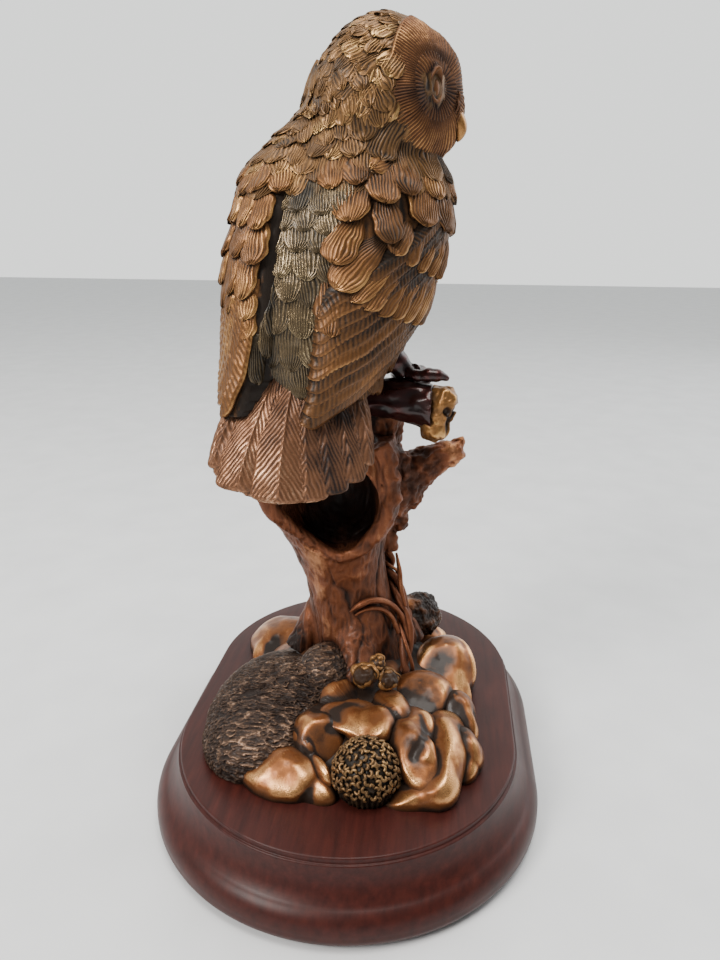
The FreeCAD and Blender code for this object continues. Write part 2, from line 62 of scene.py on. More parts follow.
# ---------------------------------------------------------------- small maths
def vec(*xyz):
    return np.array(xyz, float)


def unit(v):
    return v / np.maximum(np.linalg.norm(v, axis=-1, keepdims=True), 1e-9)


def smooth(x):
    """0 below 0, 1 above 1, and an S between."""
    x = np.clip(x, 0.0, 1.0)
    return x * x * (3 - 2 * x)


def heading(degrees):
    a = math.radians(degrees)
    return vec(math.cos(a), math.sin(a), 0)


def curve_through(x, xs, ys):
    """A smooth curve through the points (xs, ys), xs rising, with the slopes of its neighbours."""
    xs, ys = np.asarray(xs, float), np.asarray(ys, float)
    slopes = np.gradient(ys, xs)
    x = np.clip(x, xs[0], xs[-1])
    k = np.clip(np.searchsorted(xs, x) - 1, 0, len(xs) - 2)
    step = xs[k + 1] - xs[k]
    t = (x - xs[k]) / step
    return ((1 + 2 * t) * (1 - t) ** 2 * ys[k] + t * (1 - t) ** 2 * step * slopes[k]
            + t * t * (3 - 2 * t) * ys[k + 1] + t * t * (t - 1) * step * slopes[k + 1])


def lattice(i, j, k, seed):
    """A repeatable random number from 0 to 1 for each whole-number point."""
    n = (i * 73856093) ^ (j * 19349663) ^ (k * 83492791) ^ (seed * 2654435761)
    n = (n ^ (n >> 13)) * 1274126177
    n = n ^ (n >> 16)
    return (n & 0xFFFF) / 65535.0


def noise(p, size, seed=0):
    """Smooth noise from -1 to 1 with features about that size."""
    q = np.asarray(p) / size
    base = np.floor(q).astype(np.int64)
    f = q - base
    f = f * f * (3 - 2 * f)
    total = 0.0
    for dx in (0, 1):
        for dy in (0, 1):
            for dz in (0, 1):
                weight = (np.where(dx, f[..., 0], 1 - f[..., 0]) * np.where(dy, f[..., 1], 1 - f[..., 1])
                          * np.where(dz, f[..., 2], 1 - f[..., 2]))
                total = total + weight * lattice(base[..., 0] + dx, base[..., 1] + dy,
                                                 base[..., 2] + dz, seed)
    return 2 * total - 1


def rough_noise(p, size, octaves=3, seed=0):
    """Noise with finer and weaker noise on top."""
    return sum(noise(p, size / 2 ** k, seed + k) / 2 ** k for k in range(octaves))


# ---------------------------------------------------------------- meshes
class Build:
    """Points, faces, rubbed-ness with painted shade, and tone gathered for one piece."""

    def __init__(self):
        self.points, self.quads, self.tris, self.rubs, self.tones = [], [], [], [], []
        self.count = 0

    def add(self, points, quads, tris=None, rub=0.5, tone=0.5):
        """One closed part; its faces are turned round where they point inwards."""
        self.points.append(points)
        kinds = [(self.quads, quads)] if tris is None else [(self.quads, quads), (self.tris, tris)]
        step = 1 if sum(signed_volume(points, faces) for _, faces in kinds) >= 0 else -1
        for store, faces in kinds:
            store.append(faces[:, ::step] + self.count)
        self.rubs.append(np.broadcast_to(np.reshape(rub, -1), len(points)))
        self.tones.append(np.broadcast_to(np.reshape(tone, -1), len(points)))
        self.count += len(points)

    def add_tube(self, rings, rub=0.5, ends=(0.1, 0.1), tone=0.5):
        """One closed part from rings; ends are its end points' rub-and-shade values where these vary."""
        if np.size(rub) > 1:
            rub = np.append(np.reshape(rub, -1), ends)
        self.add(*capped_tube(rings), rub=rub, tone=tone)

    def piece(self, name, material, slot, stands_for=()):
        """Makes the object, on the one body, with its finish and the CAD nodes it stands for."""
        points = np.concatenate(self.points) * MM
        faces = self.quads + self.tris
        loops = np.concatenate([f.reshape(-1) for f in faces])
        sizes = np.concatenate([np.full(len(f), f.shape[1]) for f in faces])
        starts = np.concatenate([[0], np.cumsum(sizes)[:-1]])
        mesh = bpy.data.meshes.new(name)
        mesh.vertices.add(len(points))
        mesh.vertices.foreach_set("co", points.astype(np.float32).reshape(-1))
        mesh.loops.add(len(loops))
        mesh.loops.foreach_set("vertex_index", loops.astype(np.int32))
        mesh.polygons.add(len(sizes))
        mesh.polygons.foreach_set("loop_start", starts.astype(np.int32))
        mesh.polygons.foreach_set("use_smooth", np.full(len(sizes), True))
        mesh.update(calc_edges=True)
        mesh.validate()
        # the first attribute holds the rubbed wear of the ridges together with the painted shade laid into
        # the colour
        for label, values in (("rub", self.rubs), ("tone", self.tones)):
            layer = mesh.attributes.new(label, "FLOAT", "POINT")
            layer.data.foreach_set("value", np.concatenate(values).astype(np.float32))
        mesh.materials.append(material)
        obj = bpy.data.objects.new(name, mesh)
        bpy.context.scene.collection.objects.link(obj)
        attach(obj, "root")
        if stands_for:
            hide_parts(*stands_for)


def signed_volume(points, faces):
    """The volume between the faces and the first point, above 0 where most of them point outwards."""
    corners = (points - points[0])[faces]
    return sum((corners[:, 0] * np.cross(corners[:, k], corners[:, k + 1])).sum() / 6
               for k in range(1, faces.shape[1] - 1))


def grid_quads(rows, cols, wrap=False):
    """Quads of a grid of rows by cols points, joined round if wrap."""
    r = np.arange(rows - 1)[:, None]
    c = np.arange(cols if wrap else cols - 1)[None, :]
    following = (c + 1) % cols
    return np.stack([r * cols + c, r * cols + following, (r + 1) * cols + following, (r + 1) * cols + c],
                    -1).reshape(-1, 4)


def capped_tube(rings):
    """Points, quads and end triangles of rings of equal count, closed at both ends."""
    rows, cols = rings.shape[:2]
    points = rings.reshape(-1, 3)
    quads = grid_quads(rows, cols, wrap=True)
    ends = np.stack([rings[0].mean(0), rings[-1].mean(0)])
    c = np.arange(cols)
    following = (c + 1) % cols
    last_row = (rows - 1) * cols
    tris = np.concatenate([
        np.stack([np.full(cols, rows * cols), following, c], -1),
        np.stack([np.full(cols, rows * cols + 1), last_row + c, last_row + following], -1)])
    return np.concatenate([points, ends]), quads, tris


# ---------------------------------------------------------------- forms that feathers lie on
class Form:
    """A closed form: level() is 1 on its surface, and drop() puts points there."""

    def normal(self, p):
        steps = np.eye(3) * 0.05
        return unit(np.stack([self.level(p + s) - self.level(p - s) for s in steps], -1))

    def seat_from(self, axis, azimuth, z):
        """Where the level ray from axis at that azimuth, in degrees, leaves the form."""
        line = vec(axis[0], axis[1], z) + np.linspace(0, 60, 1201)[:, None] * heading(azimuth)
        inside = np.where(self.level(line) < 1)[0]
        return line[inside[-1] if len(inside) else 0]


class Loft(Form):
    """Level ellipses at heights, each with a middle, a half width along turn and a half depth."""

    def __init__(self, stations, turn):
        table = np.array(sorted(stations), float)
        self.z, self.columns = table[:, 0], table[:, 1:].T
        self.way = heading(turn)

    def at(self, z):
        return [curve_through(z, self.z, column) for column in self.columns]

    def local(self, p):
        x, y, wide, deep = self.at(p[..., 2])
        dx, dy = p[..., 0] - x, p[..., 1] - y
        return (dx * self.way[0] + dy * self.way[1]) / wide, (dy * self.way[0] - dx * self.way[1]) / deep

    def level(self, p):
        u, v = self.local(p)
        return np.hypot(u, v)

    def point(self, angle, z):
        x, y, wide, deep = self.at(z)
        u, v = wide * np.cos(angle), deep * np.sin(angle)
        return np.stack([x + u * self.way[0] - v * self.way[1], y + u * self.way[1] + v * self.way[0],
                         z * np.ones_like(angle)], -1)

    def drop(self, q):
        z = np.clip(q[..., 2], self.z[0], self.z[-1])
        u, v = self.local(np.concatenate([q[..., :2], z[..., None]], -1))
        return self.point(np.arctan2(v, u), z)

    def skin(self, shrink, rows, cols, low, high):
        """A closed mesh of the form between two heights, drawn in by shrink."""
        z = np.linspace(low, high, rows)[:, None]
        angle = np.linspace(0, ROUND, cols, endpoint=False)[None, :]
        p = self.point(angle + 0 * z, z + 0 * angle)
        n = self.normal(p)
        n[..., 2] *= 0.3
        return capped_tube(p - shrink * n)


ROUNDED_END = 3.0                 # how far a loft swells beyond its end stations in a merged form
LEAST_SHARE = 1e-4                # keeps a level cut from shrinking to nothing


class Merged(Form):
    """Lofts and eggs run together, as a distance from an upright axis at each azimuth and height."""

    def __init__(self, lofts, eggs, axis, soft=1.3):
        self.lofts, self.eggs, self.axis, self.soft = lofts, eggs, axis, soft

    def radius(self, way, z):
        """way is level and of length 1."""
        outs = []
        for loft in self.lofts:
            x, y, wide, deep = loft.at(np.clip(z, loft.z[0], loft.z[-1]))
            beyond = np.abs(z - np.clip(z, loft.z[0], loft.z[-1])) / ROUNDED_END
            outs.append(self.exit(way, x, y, wide, deep, loft.way, 1 - beyond ** 2))
        for middle, half in self.eggs:
            outs.append(self.exit(way, middle[0], middle[1], half[0], half[1], vec(1, 0, 0),
                                  1 - ((z - middle[2]) / half[2]) ** 2))
        return self.soft * np.log(np.exp(np.stack(outs) / self.soft).sum(0))

    def exit(self, way, x, y, wide, deep, turn, share):
        """How far along way from the axis an ellipse is left, its axes scaled by the root of share."""
        size = np.sqrt(np.maximum(share, LEAST_SHARE))
        dx, dy = self.axis[0] - x, self.axis[1] - y
        a = (dx * turn[0] + dy * turn[1]) / (wide * size)
        b = (dy * turn[0] - dx * turn[1]) / (deep * size)
        u = (way[..., 0] * turn[0] + way[..., 1] * turn[1]) / (wide * size)
        v = (way[..., 1] * turn[0] - way[..., 0] * turn[1]) / (deep * size)
        square, cross = u * u + v * v, u * a + v * b
        under_root = cross * cross - square * (a * a + b * b - 1)
        out = (np.sqrt(np.maximum(under_root, 0)) - cross) / square
        return np.where(under_root > 0, np.maximum(out, 0), 0.0)

    def level(self, p):
        away = p[..., :2] - self.axis[:2]
        distance = np.linalg.norm(away, axis=-1)
        return distance / self.radius(away / np.maximum(distance, 1e-6)[..., None], p[..., 2])

    def drop(self, q):
        way = unit(q[..., :2] - self.axis[:2])
        level = self.axis[:2] + way * self.radius(way, q[..., 2])[..., None]
        return np.concatenate([level, q[..., 2:]], -1)

    def seat(self, azimuth, z):
        """The skin's point at that azimuth, in degrees, and height."""
        return self.drop(vec(self.axis[0], self.axis[1], z) + 30 * heading(azimuth))


# ---------------------------------------------------------------- lumps, tubes and melted skins
def spline(path, count):
    """That many points on a smooth curve through the path's points; extra columns come along."""
    path = np.asarray(path, float)
    reach = np.concatenate([[0], np.cumsum(np.linalg.norm(np.diff(path[:, :3], axis=0), axis=1))])
    t = np.linspace(0, reach[-1], count)
    return np.stack([curve_through(t, reach, column) for column in path.T], -1)


def along(points, path, width):
    """How near each point is to the path: 1 on it, falling off over width."""
    line = spline(path, 4 * len(path))
    best = np.full(points.shape[:-1], 1e9)
    for a, b in zip(line[:-1], line[1:]):
        t = np.clip(((points - a) @ (b - a)) / max((b - a) @ (b - a), 1e-9), 0, 1)
        best = np.minimum(best, np.linalg.norm(points - a - t[..., None] * (b - a), axis=-1))
    return np.exp(-(best / width) ** 2)


def tube(path, count, around, wobble=0.0, seed=0):
    """Rings of a tube along a path of x, y, z and radius."""
    line = spline(path, count)
    middle, radius = line[:, :3], np.abs(line[:, 3])
    ahead = unit(np.gradient(middle, axis=0))
    side = unit(np.cross(ahead, vec(0.13, 0.1, 1)))
    up = np.cross(side, ahead)
    a = np.linspace(0, ROUND, around, endpoint=False)
    rings = (middle[:, None] + (radius[:, None] * np.cos(a))[..., None] * side[:, None]
             + (radius[:, None] * np.sin(a))[..., None] * up[:, None])
    if wobble:
        rings = rings + unit(rings - middle[:, None]) * (wobble * rough_noise(rings, 3.0, 3, seed))[..., None]
    return rings


FAR = 99.0                        # farther than any skin reaches


class Lump(Form):
    """A solid seen from a point inside it: eggs run together and trimmed by flats, all softened."""

    def __init__(self, middle, eggs, flats=(), soft=1.0, trim=0.5):
        self.middle, self.eggs, self.flats, self.soft = np.array(middle, float), eggs, flats, soft
        self.trim = trim

    def level(self, p):
        away = p - self.middle
        distance = np.linalg.norm(away, axis=-1)
        return distance / self.reach(away / distance[..., None])

    def drop(self, q):
        way = unit(q - self.middle)
        return self.middle + way * self.reach(way)[..., None]

    def reach(self, way):
        outs = []
        for centre, half, turn in self.eggs:
            a = heading(turn)
            axes = np.array([a, [-a[1], a[0], 0], [0, 0, 1]])
            start = axes @ (self.middle - centre) / half
            step = way @ axes.T / half
            square, cross = (step * step).sum(-1), (step * start).sum(-1)
            under_root = cross * cross - square * (start @ start - 1)
            out = (np.sqrt(np.maximum(under_root, 0)) - cross) / square
            outs.append(np.where(under_root > 0, out, 0.0))
        out = self.soft * np.log(np.exp(np.clip(np.stack(outs), 0, FAR) / self.soft).sum(0))
        for azimuth, rise, distance in self.flats:
            e = math.radians(rise)
            n = heading(azimuth) * math.cos(e) + vec(0, 0, math.sin(e))
            facing = way @ n
            stop = np.where(facing > 0.05, distance / np.maximum(facing, 0.05), FAR)
            stop = np.minimum(stop, FAR)
            out = -self.trim * np.log(np.exp(-out / self.trim) + np.exp(-stop / self.trim))
        return out

    def grid(self, rows, cols, low=-0.45, denser=None):
        """Directions and points of the skin, with more columns towards the azimuth denser."""
        t = np.linspace(0, ROUND, cols, endpoint=False)
        if denser is not None:
            t = math.radians(denser) + (t - math.pi) - 0.6 * np.sin(t - math.pi)
        rise = np.linspace(low, 1.53, rows)[:, None]
        way = np.stack([np.cos(rise) * np.cos(t), np.cos(rise) * np.sin(t), np.sin(rise) + 0 * t], -1)
        return way, self.middle + way * self.reach(way)[..., None]


def points_of(mesh):
    co = np.empty(len(mesh.vertices) * 3, np.float32)
    mesh.vertices.foreach_get("co", co)
    return co.reshape(-1, 3).astype(float)


def melted(nodes, extras, voxel, rounds):
    """One skin round CAD nodes and extra closed tubes: its points, normals and quads."""
    points, faces, count = [], [], 0
    for name in nodes:
        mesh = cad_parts[name].data
        points.append(points_of(mesh))
        faces += [[v + count for v in face.vertices] for face in mesh.polygons]
        count += len(mesh.vertices)
    for rings in extras:
        p, quads, tris = capped_tube(rings)
        points.append(p * MM)
        faces += (quads + count).tolist() + (tris + count).tolist()
        count += len(p)
    mesh = bpy.data.meshes.new("melting")
    mesh.from_pydata(np.concatenate(points).tolist(), [], faces)
    obj = bpy.data.objects.new("melting", mesh)
    bpy.context.scene.collection.objects.link(obj)
    remesh = obj.modifiers.new("skin", "REMESH")
    remesh.mode = "VOXEL"
    remesh.voxel_size = voxel * MM
    done = bpy.data.meshes.new_from_object(obj.evaluated_get(bpy.context.evaluated_depsgraph_get()))
    p = points_of(done) / MM
    quads = np.array([face.vertices[:] for face in done.polygons if len(face.vertices) == 4])
    bpy.data.objects.remove(obj)
    bpy.data.meshes.remove(mesh)
    bpy.data.meshes.remove(done)
    edges = np.concatenate([quads[:, (0, 1)], quads[:, (1, 2)], quads[:, (2, 3)], quads[:, (3, 0)]])
    edges = np.concatenate([edges, edges[:, ::-1]])
    degree = np.bincount(edges[:, 0], minlength=len(p))[:, None]
    for _ in range(rounds):
        pulled = np.stack([np.bincount(edges[:, 0], p[edges[:, 1], k], len(p)) for k in range(3)], -1)
        p = p + 0.6 * (pulled / degree - p)
    across = np.cross(p[quads[:, 2]] - p[quads[:, 0]], p[quads[:, 3]] - p[quads[:, 1]])
    normal = np.zeros_like(p)
    for corner in range(4):
        for k in range(3):
            normal[:, k] += np.bincount(quads[:, corner], across[:, k], len(p))
    return p, unit(normal), quads


def ridged(p, size, stretch, seed, warp=0.6):
    """Long soft ridges from 0 to 1, drawn out where stretch is small, and wandering by warp."""
    drift = np.stack([noise(p, size * 2.5, seed + k) for k in range(3)], -1) * warp
    return 1 - np.abs(noise((p + drift) * np.array(stretch), size, seed + 5))


# ---------------------------------------------------------------- feathers
def feather(build, form, tip, way, length, width, pitch=0.95, lift=1.0, sink=0.5, raised=0.0,
            dome=0.45, roll=0.0, bend=0.0, vane=False, slant=40.0, root=0.5, blunt=0.62, depth=0.32,
            thick=1.2, tone=0.5, rows=28, rub=0.5, ragged=0.25, fine=6.0, edge=0.8, stain=0.45,
            track=None):
    """One closed feather on form, its tip at tip and pointing along way.

    lift and sink are the heights of the tip and the root over the form, raised is added to both. Its
    grooves fan out from the root, or run from the shaft to the edges if vane; pitch is their spacing.
    A long feather follows track instead: points on the form from its tip to its root.
    """
    if track is not None:
        tip, way = track[0], track[0] - track[1]
    normal = form.normal(tip)
    ahead = unit(way - normal * np.dot(way, normal))
    side = np.cross(normal, ahead)
    cols = int(width / pitch * fine) + 8
    s = 1 - (1 - np.linspace(0, 1, rows)) ** (1.0 if vane else 1.35)
    t = np.linspace(-1, 1, cols)
    S, T = np.meshgrid(s, t, indexing="ij")
    a, b, c, d = RANDOM.rand(4) * 6.28    # starting points of the waves
    round_tip = np.sqrt(np.clip(1 - (np.clip(S - blunt, 0, 1) / (1 - blunt)) ** 2, 0.002, 1))
    half = width / 2 * (root + (1 - root) * smooth(S / 0.5)) * round_tip
    half = half * (1 + 0.05 * np.sin(9 * S + a) + 0.03 * np.sin(21 * S + b))
    across = T * half
    if vane:
        turn = math.radians(slant)
        phase = (np.abs(across) * math.cos(turn) + (1 - S) * length * math.sin(turn)) / pitch
    else:
        phase = T * width / pitch / 2 + 0.35 * np.sin(3.1 * T + 4 * S + a)
    flat = np.stack([across, S * length, np.full_like(S, 9 * a)], -1)
    phase = phase + (0.32 if vane else 0.55) * rough_noise(flat, 3.5, 2, 17)
    valley = np.abs(np.cos(math.pi * phase)) ** 3
    strength = 0.66 + 0.34 * noise(flat, 2.4, 18)
    inward = np.minimum((1 - np.abs(T)) * half, (1 - S) * length)
    rim = smooth(inward / edge)
    fade = smooth(S / 0.12) * (0.30 + 0.70 * rim) * strength
    height = -sink + (lift + sink) * S ** 1.2 + dome * (1 - T * T) * smooth(S / 0.3)
    height = height + roll * T * smooth(S / 0.5)
    height = height - 0.56 * edge * (1 - rim) - depth * valley * fade
    if vane:
        height = height + 0.35 * np.exp(-(across / 0.5) ** 2) * smooth((1 - S) / 0.1)
    torn = ragged * (0.5 - valley + 0.4 * np.sin(5 * T + c)) * smooth((S - 0.6) / 0.4)
    along_way = (S - 1) * length + torn
    sideways = across + bend * (1 - S) ** 2
    if track is None:
        p = form.drop(tip + along_way[..., None] * ahead + sideways[..., None] * side)
    else:
        line = spline(track, rows)[::-1]
        sides = unit(np.cross(form.normal(line), unit(np.gradient(line, axis=0))))
        p = form.drop(line[:, None] + sideways[..., None] * sides[:, None] + torn[..., None] * ahead)
    n = form.normal(p)
    height = height + 0.16 * noise(p, 2.6, 3) + 0.07 * noise(p, 1.1, 4)
    top = p + n * (height + raised)[..., None]
    under = p[:, (0, -1)] + n[:, (0, -1)] * (height[:, (0, -1)] + raised - thick)[..., None]
    # painted shade, with patina: darker towards the root, where the feather lies under the tip of the one
    # above
    shade = rub * (0.60 + 0.40 * smooth(S / 0.7)) - stain * valley * fade
    shade = shade + 0.20 * (1 - rim) * smooth((S - 0.2) / 0.5)
    shade = shade + 0.10 * np.sin(3 * S + d) + 0.12 * roll * T

    k = rows * cols
    left, right = k + 2 * np.arange(rows), k + 2 * np.arange(rows) + 1
    r = np.arange(rows - 1)
    quads = np.concatenate([
        grid_quads(rows, cols),
        np.stack([left[:-1], r * cols, (r + 1) * cols, left[1:]], -1),
        np.stack([r * cols + cols - 1, right[:-1], right[1:], (r + 1) * cols + cols - 1], -1),
        np.stack([right[:-1], left[:-1], left[1:], right[1:]], -1)])
    col = np.arange(cols - 1)
    base = (rows - 1) * cols
    tris = np.concatenate([
        np.stack([np.full(cols - 1, left[0]), col + 1, col], -1), [[left[0], right[0], cols - 1]],
        np.stack([np.full(cols - 1, left[-1]), base + col, base + col + 1], -1),
        [[left[-1], base + cols - 1, right[-1]]]])
    build.add(np.concatenate([top.reshape(-1, 3), under.reshape(-1, 3)]), quads, tris,
              rub=np.concatenate([shade.reshape(-1), np.full(2 * rows, 0.1)]), tone=tone)


def some(middle, spread):
    """A random number within spread of middle."""
    return middle + RANDOM.uniform(-spread, spread)


# ---------------------------------------------------------------- materials
class Shader:
    """A material whose nodes are added in turn."""

    def __init__(self, name):
        self.material = bpy.data.materials.new(name)
        self.material.use_nodes = True
        self.tree = self.material.node_tree
        self.tree.nodes.clear()

    def add(self, kind, sockets=None, **settings):
        node = self.tree.nodes.new(kind)
        for key, value in settings.items():
            setattr(node, key, value)
        for key, value in (sockets or {}).items():
            if isinstance(value, bpy.types.NodeSocket):
                self.tree.links.new(value, node.inputs[key])
            else:
                node.inputs[key].default_value = value
        return node

    def math(self, operation, a, b=0.0, clamp=False):
        return self.add("ShaderNodeMath", {0: a, 1: b}, operation=operation, use_clamp=clamp).outputs[0]

    def attribute(self, name):
        return self.add("ShaderNodeAttribute", attribute_name=name).outputs["Fac"]

    def noise(self, size, detail=3.0, rough=0.55, stretch=(1, 1, 1)):
        """Noise with features about that many millimetres, from 0 to 1."""
        where = self.add("ShaderNodeTexCoord").outputs["Object"]
        spread = self.add("ShaderNodeMapping", {"Vector": where, "Scale": stretch}).outputs[0]
        return self.add("ShaderNodeTexNoise", {"Vector": spread, "Scale": 1 / (size * MM), "Detail": detail,
                                               "Roughness": rough}).outputs["Fac"]

    def ramp(self, factor, stops):
        node = self.add("ShaderNodeValToRGB", {"Fac": factor})
        elements = node.color_ramp.elements
        while len(elements) > len(stops):
            elements.remove(elements[-1])
        while len(elements) < len(stops):
            elements.new(0.5)
        for element, (place, colour) in zip(elements, stops):
            element.position = place
            element.color = (*colour, 1)
        return node.outputs["Color"]

    def mix(self, factor, a, b):
        """Colour socket a, turned to colour b by factor."""
        node = self.add("ShaderNodeMix", {"Factor": factor}, data_type="RGBA", blend_type="MIX")
        self.tree.links.new(a, node.inputs[6])
        node.inputs[7].default_value = (*b, 1)
        return node.outputs[2]

    def sway(self, base, source, amount):
        """base moved up and down with source, which is 0.5 on average."""
        swing = self.math("MULTIPLY", self.math("SUBTRACT", source, 0.5), amount)
        return self.math("ADD", base, swing)

    def bump(self, height, distance, strength=1.0, under=None):
        sockets = {"Height": height, "Distance": distance * MM, "Strength": strength}
        if under is not None:
            sockets["Normal"] = under
        return self.add("ShaderNodeBump", sockets).outputs[0]

    def surface(self, **sockets):
        named = {key.replace("_", " "): value for key, value in sockets.items()}
        shader = self.add("ShaderNodeBsdfPrincipled", named)
        self.add("ShaderNodeOutputMaterial", {"Surface": shader.outputs[0]})
        return self.material


def patina(name, deep, middle, bright, gloss, occlusion=1.4, grain=0.35, metal=0.85, coat=0.06,
           fibre=None, mottle=0.65, pitting=0.10):
    """Antiqued copper: patina and painted shade in the recesses, rubbed bright where rub is high, uneven all
    over.
    """
    shader = Shader(name)
    rub = shader.attribute("rub")
    tone = shader.attribute("tone")
    cloud = shader.noise(9.0, 4.0)
    fine = shader.noise(grain, 3.0, 0.6)
    # painted shade: ambient occlusion darkens the colour in sheltered recesses, also standing for the patina
    # gathered there
    sheltered = {"Distance": occlusion * MM}
    hollow = shader.add("ShaderNodeAmbientOcclusion", sheltered, samples=6).outputs["AO"]
    open_to_light = shader.math("POWER", hollow, 1.6)
    amount = shader.sway(rub, cloud, mottle)
    amount = shader.sway(amount, tone, 0.6)
    amount = shader.sway(amount, fine, 0.35)
    amount = shader.math("MULTIPLY", amount, open_to_light, clamp=True)
    dull = tuple(0.5 * (a + b) for a, b in zip(deep, middle))
    colour = shader.ramp(amount, [(0.0, deep), (0.28, dull), (0.55, middle), (0.95, bright)])
    rough = shader.math("ADD", gloss + 0.16, shader.math("MULTIPLY", amount, -0.22))
    rough = shader.sway(rough, fine, 0.25)
    metallic = shader.math("MINIMUM", shader.math("MULTIPLY", amount, 1.8), 1.0)
    metallic = shader.math("MULTIPLY", metallic, metal)
    bump = shader.bump(fine, pitting, 0.5)
    if fibre is not None:
        bump = shader.bump(shader.noise(0.7, 4.0, 0.65, stretch=fibre), 0.45, 0.6, bump)
    return shader.surface(Base_Color=colour, Metallic=metallic, Roughness=rough, Normal=bump,
                          Coat_Weight=coat, Coat_Roughness=0.15, Specular_IOR_Level=0.18)


def lacquered_wood():
    """Dark mahogany stain under a satin lacquer, its grain along X."""
    shader = Shader("lacquered_mahogany")
    grain = shader.noise(2.2, 5.0, 0.6, stretch=(0.12, 1, 1))
    cloud = shader.noise(22.0, 3.0)
    pores = shader.noise(0.5, 2.0, 0.5, stretch=(0.15, 1, 1))
    base = shader.ramp(grain, [(0.30, (0.022, 0.0045, 0.0032)), (0.55, (0.041, 0.0082, 0.0055)),
                               (0.80, (0.062, 0.0125, 0.0080))])
    colour = shader.mix(shader.math("MULTIPLY", cloud, 0.35), base, (0.036, 0.008, 0.007))
    rough = shader.math("ADD", 0.34, shader.math("MULTIPLY", cloud, 0.16))
    bump = shader.bump(pores, 0.05, 0.25)
    bump = shader.bump(shader.noise(6.0, 2.0), 0.25, 0.15, bump)
    return shader.surface(Base_Color=colour, Roughness=rough, Normal=bump, Coat_Weight=0.03,
                          Coat_Roughness=0.24, Specular_IOR_Level=0.22)


def felt():
    shader = Shader("green_baize")
    fibre = shader.noise(0.4, 4.0, 0.7)
    colour = shader.ramp(fibre, [(0.3, (0.008, 0.030, 0.018)), (0.7, (0.02, 0.07, 0.04))])
    return shader.surface(Base_Color=colour, Roughness=0.95, Sheen_Weight=0.4,
                          Normal=shader.bump(fibre, 0.3, 0.8))


def plain_steel():
    shader = Shader("plated_steel")
    scratch = shader.noise(0.5, 3.0, 0.6, stretch=(1, 1, 0.2))
    colour = shader.ramp(scratch, [(0.3, (0.40, 0.40, 0.41)), (0.7, (0.62, 0.62, 0.60))])
    rough = shader.math("ADD", 0.22, shader.math("MULTIPLY", scratch, 0.2))
    return shader.surface(Base_Color=colour, Metallic=1.0, Roughness=rough,
                          Normal=shader.bump(scratch, 0.02, 0.4))


# name, then the colours of the recesses, of the middle and of the rubbed ridges
FEATHER = patina("copper_feather", (0.014, 0.009, 0.006), (0.20, 0.090, 0.034), (0.66, 0.37, 0.135),
                 gloss=0.36)
BACK = patina("olive_back", (0.013, 0.011, 0.008), (0.180, 0.128, 0.070), (0.64, 0.50, 0.28),
              gloss=0.20, coat=0.2, grain=0.7, pitting=0.35)
CROWN = patina("gilt_crown", (0.016, 0.010, 0.006), (0.23, 0.120, 0.048), (0.80, 0.52, 0.20),
               gloss=0.34)
FACE = patina("red_face", (0.020, 0.009, 0.006), (0.165, 0.072, 0.031), (0.56, 0.31, 0.120),
              gloss=0.42, mottle=0.9, coat=0.0)
TAIL = patina("rose_tail", (0.016, 0.009, 0.007), (0.235, 0.110, 0.058), (0.84, 0.53, 0.34),
              gloss=0.31, mottle=1.0)
GILT = patina("gilt", (0.024, 0.011, 0.005), (0.30, 0.145, 0.050), (0.78, 0.47, 0.18), gloss=0.30)
BARK = patina("copper_bark", (0.013, 0.005, 0.003), (0.185, 0.064, 0.030), (0.56, 0.27, 0.13),
              gloss=0.42, mottle=0.55, fibre=(1, 1, 0.3))
STONE = patina("polished_stone", (0.016, 0.009, 0.006), (0.235, 0.088, 0.032), (0.72, 0.37, 0.145),
               gloss=0.31, occlusion=3.0, metal=0.9, mottle=0.9, coat=0.15)
MOSS = patina("dark_moss", (0.014, 0.008, 0.006), (0.075, 0.044, 0.029), (0.33, 0.20, 0.125),
              gloss=0.42, metal=0.6)
GILT_MOSS = patina("gilt_moss", (0.012, 0.008, 0.005), (0.17, 0.095, 0.042), (0.56, 0.35, 0.15),
                   gloss=0.36)
PERCH = patina("dark_perch", (0.009, 0.004, 0.004), (0.055, 0.014, 0.012), (0.34, 0.13, 0.11),
               gloss=0.24, coat=0.5)
WOOD = lacquered_wood()
FELT = felt()
STEEL = plain_steel()


# ---------------------------------------------------------------- owl
AXIS = vec(0, 8, 0)               # the owl's upright middle line
BODY_TOP = box_mm("owl_body")[1][2]
CROWN_TOP = box_mm("owl_head")[1][2]
LOOK = heading(-101.0)            # where the face looks
SIDE = np.cross(vec(0, 0, 1), LOOK)
HEAD = vec(4.0, -5.0, CROWN_TOP - 22.0)
BASE = 126.0                      # the height of the body's underside
RISE = BODY_TOP - BASE
SKIN = 1.3                        # how far the forms lie below the feathers' backs
WING_SKIN = SKIN * 0.8

# share of the rise, middle x, middle y, half width and half depth as shares of 28.5 and 26.5
TORSO = Loft([(BASE + RISE * share, x, y, 28.5 * wide - SKIN, 26.5 * deep - SKIN)
              for share, x, y, wide, deep in (
    (-0.03, -7.5, 12, 0.30, 0.28), (0.0, -7, 12, 0.56, 0.50), (0.09, -4.5, 12, 0.76, 0.72),
    (0.24, -1, 11, 0.93, 0.92), (0.42, 1.5, 10, 1, 1), (0.60, 3, 8, 1, 0.99),
    (0.76, 3.5, 5.5, 0.94, 0.90), (0.90, 4, 1.5, 0.78, 0.76), (1.0, 4.5, -2.5, 0.66, 0.66),
    (1.1, 4.5, -4, 0.60, 0.60))], 70)
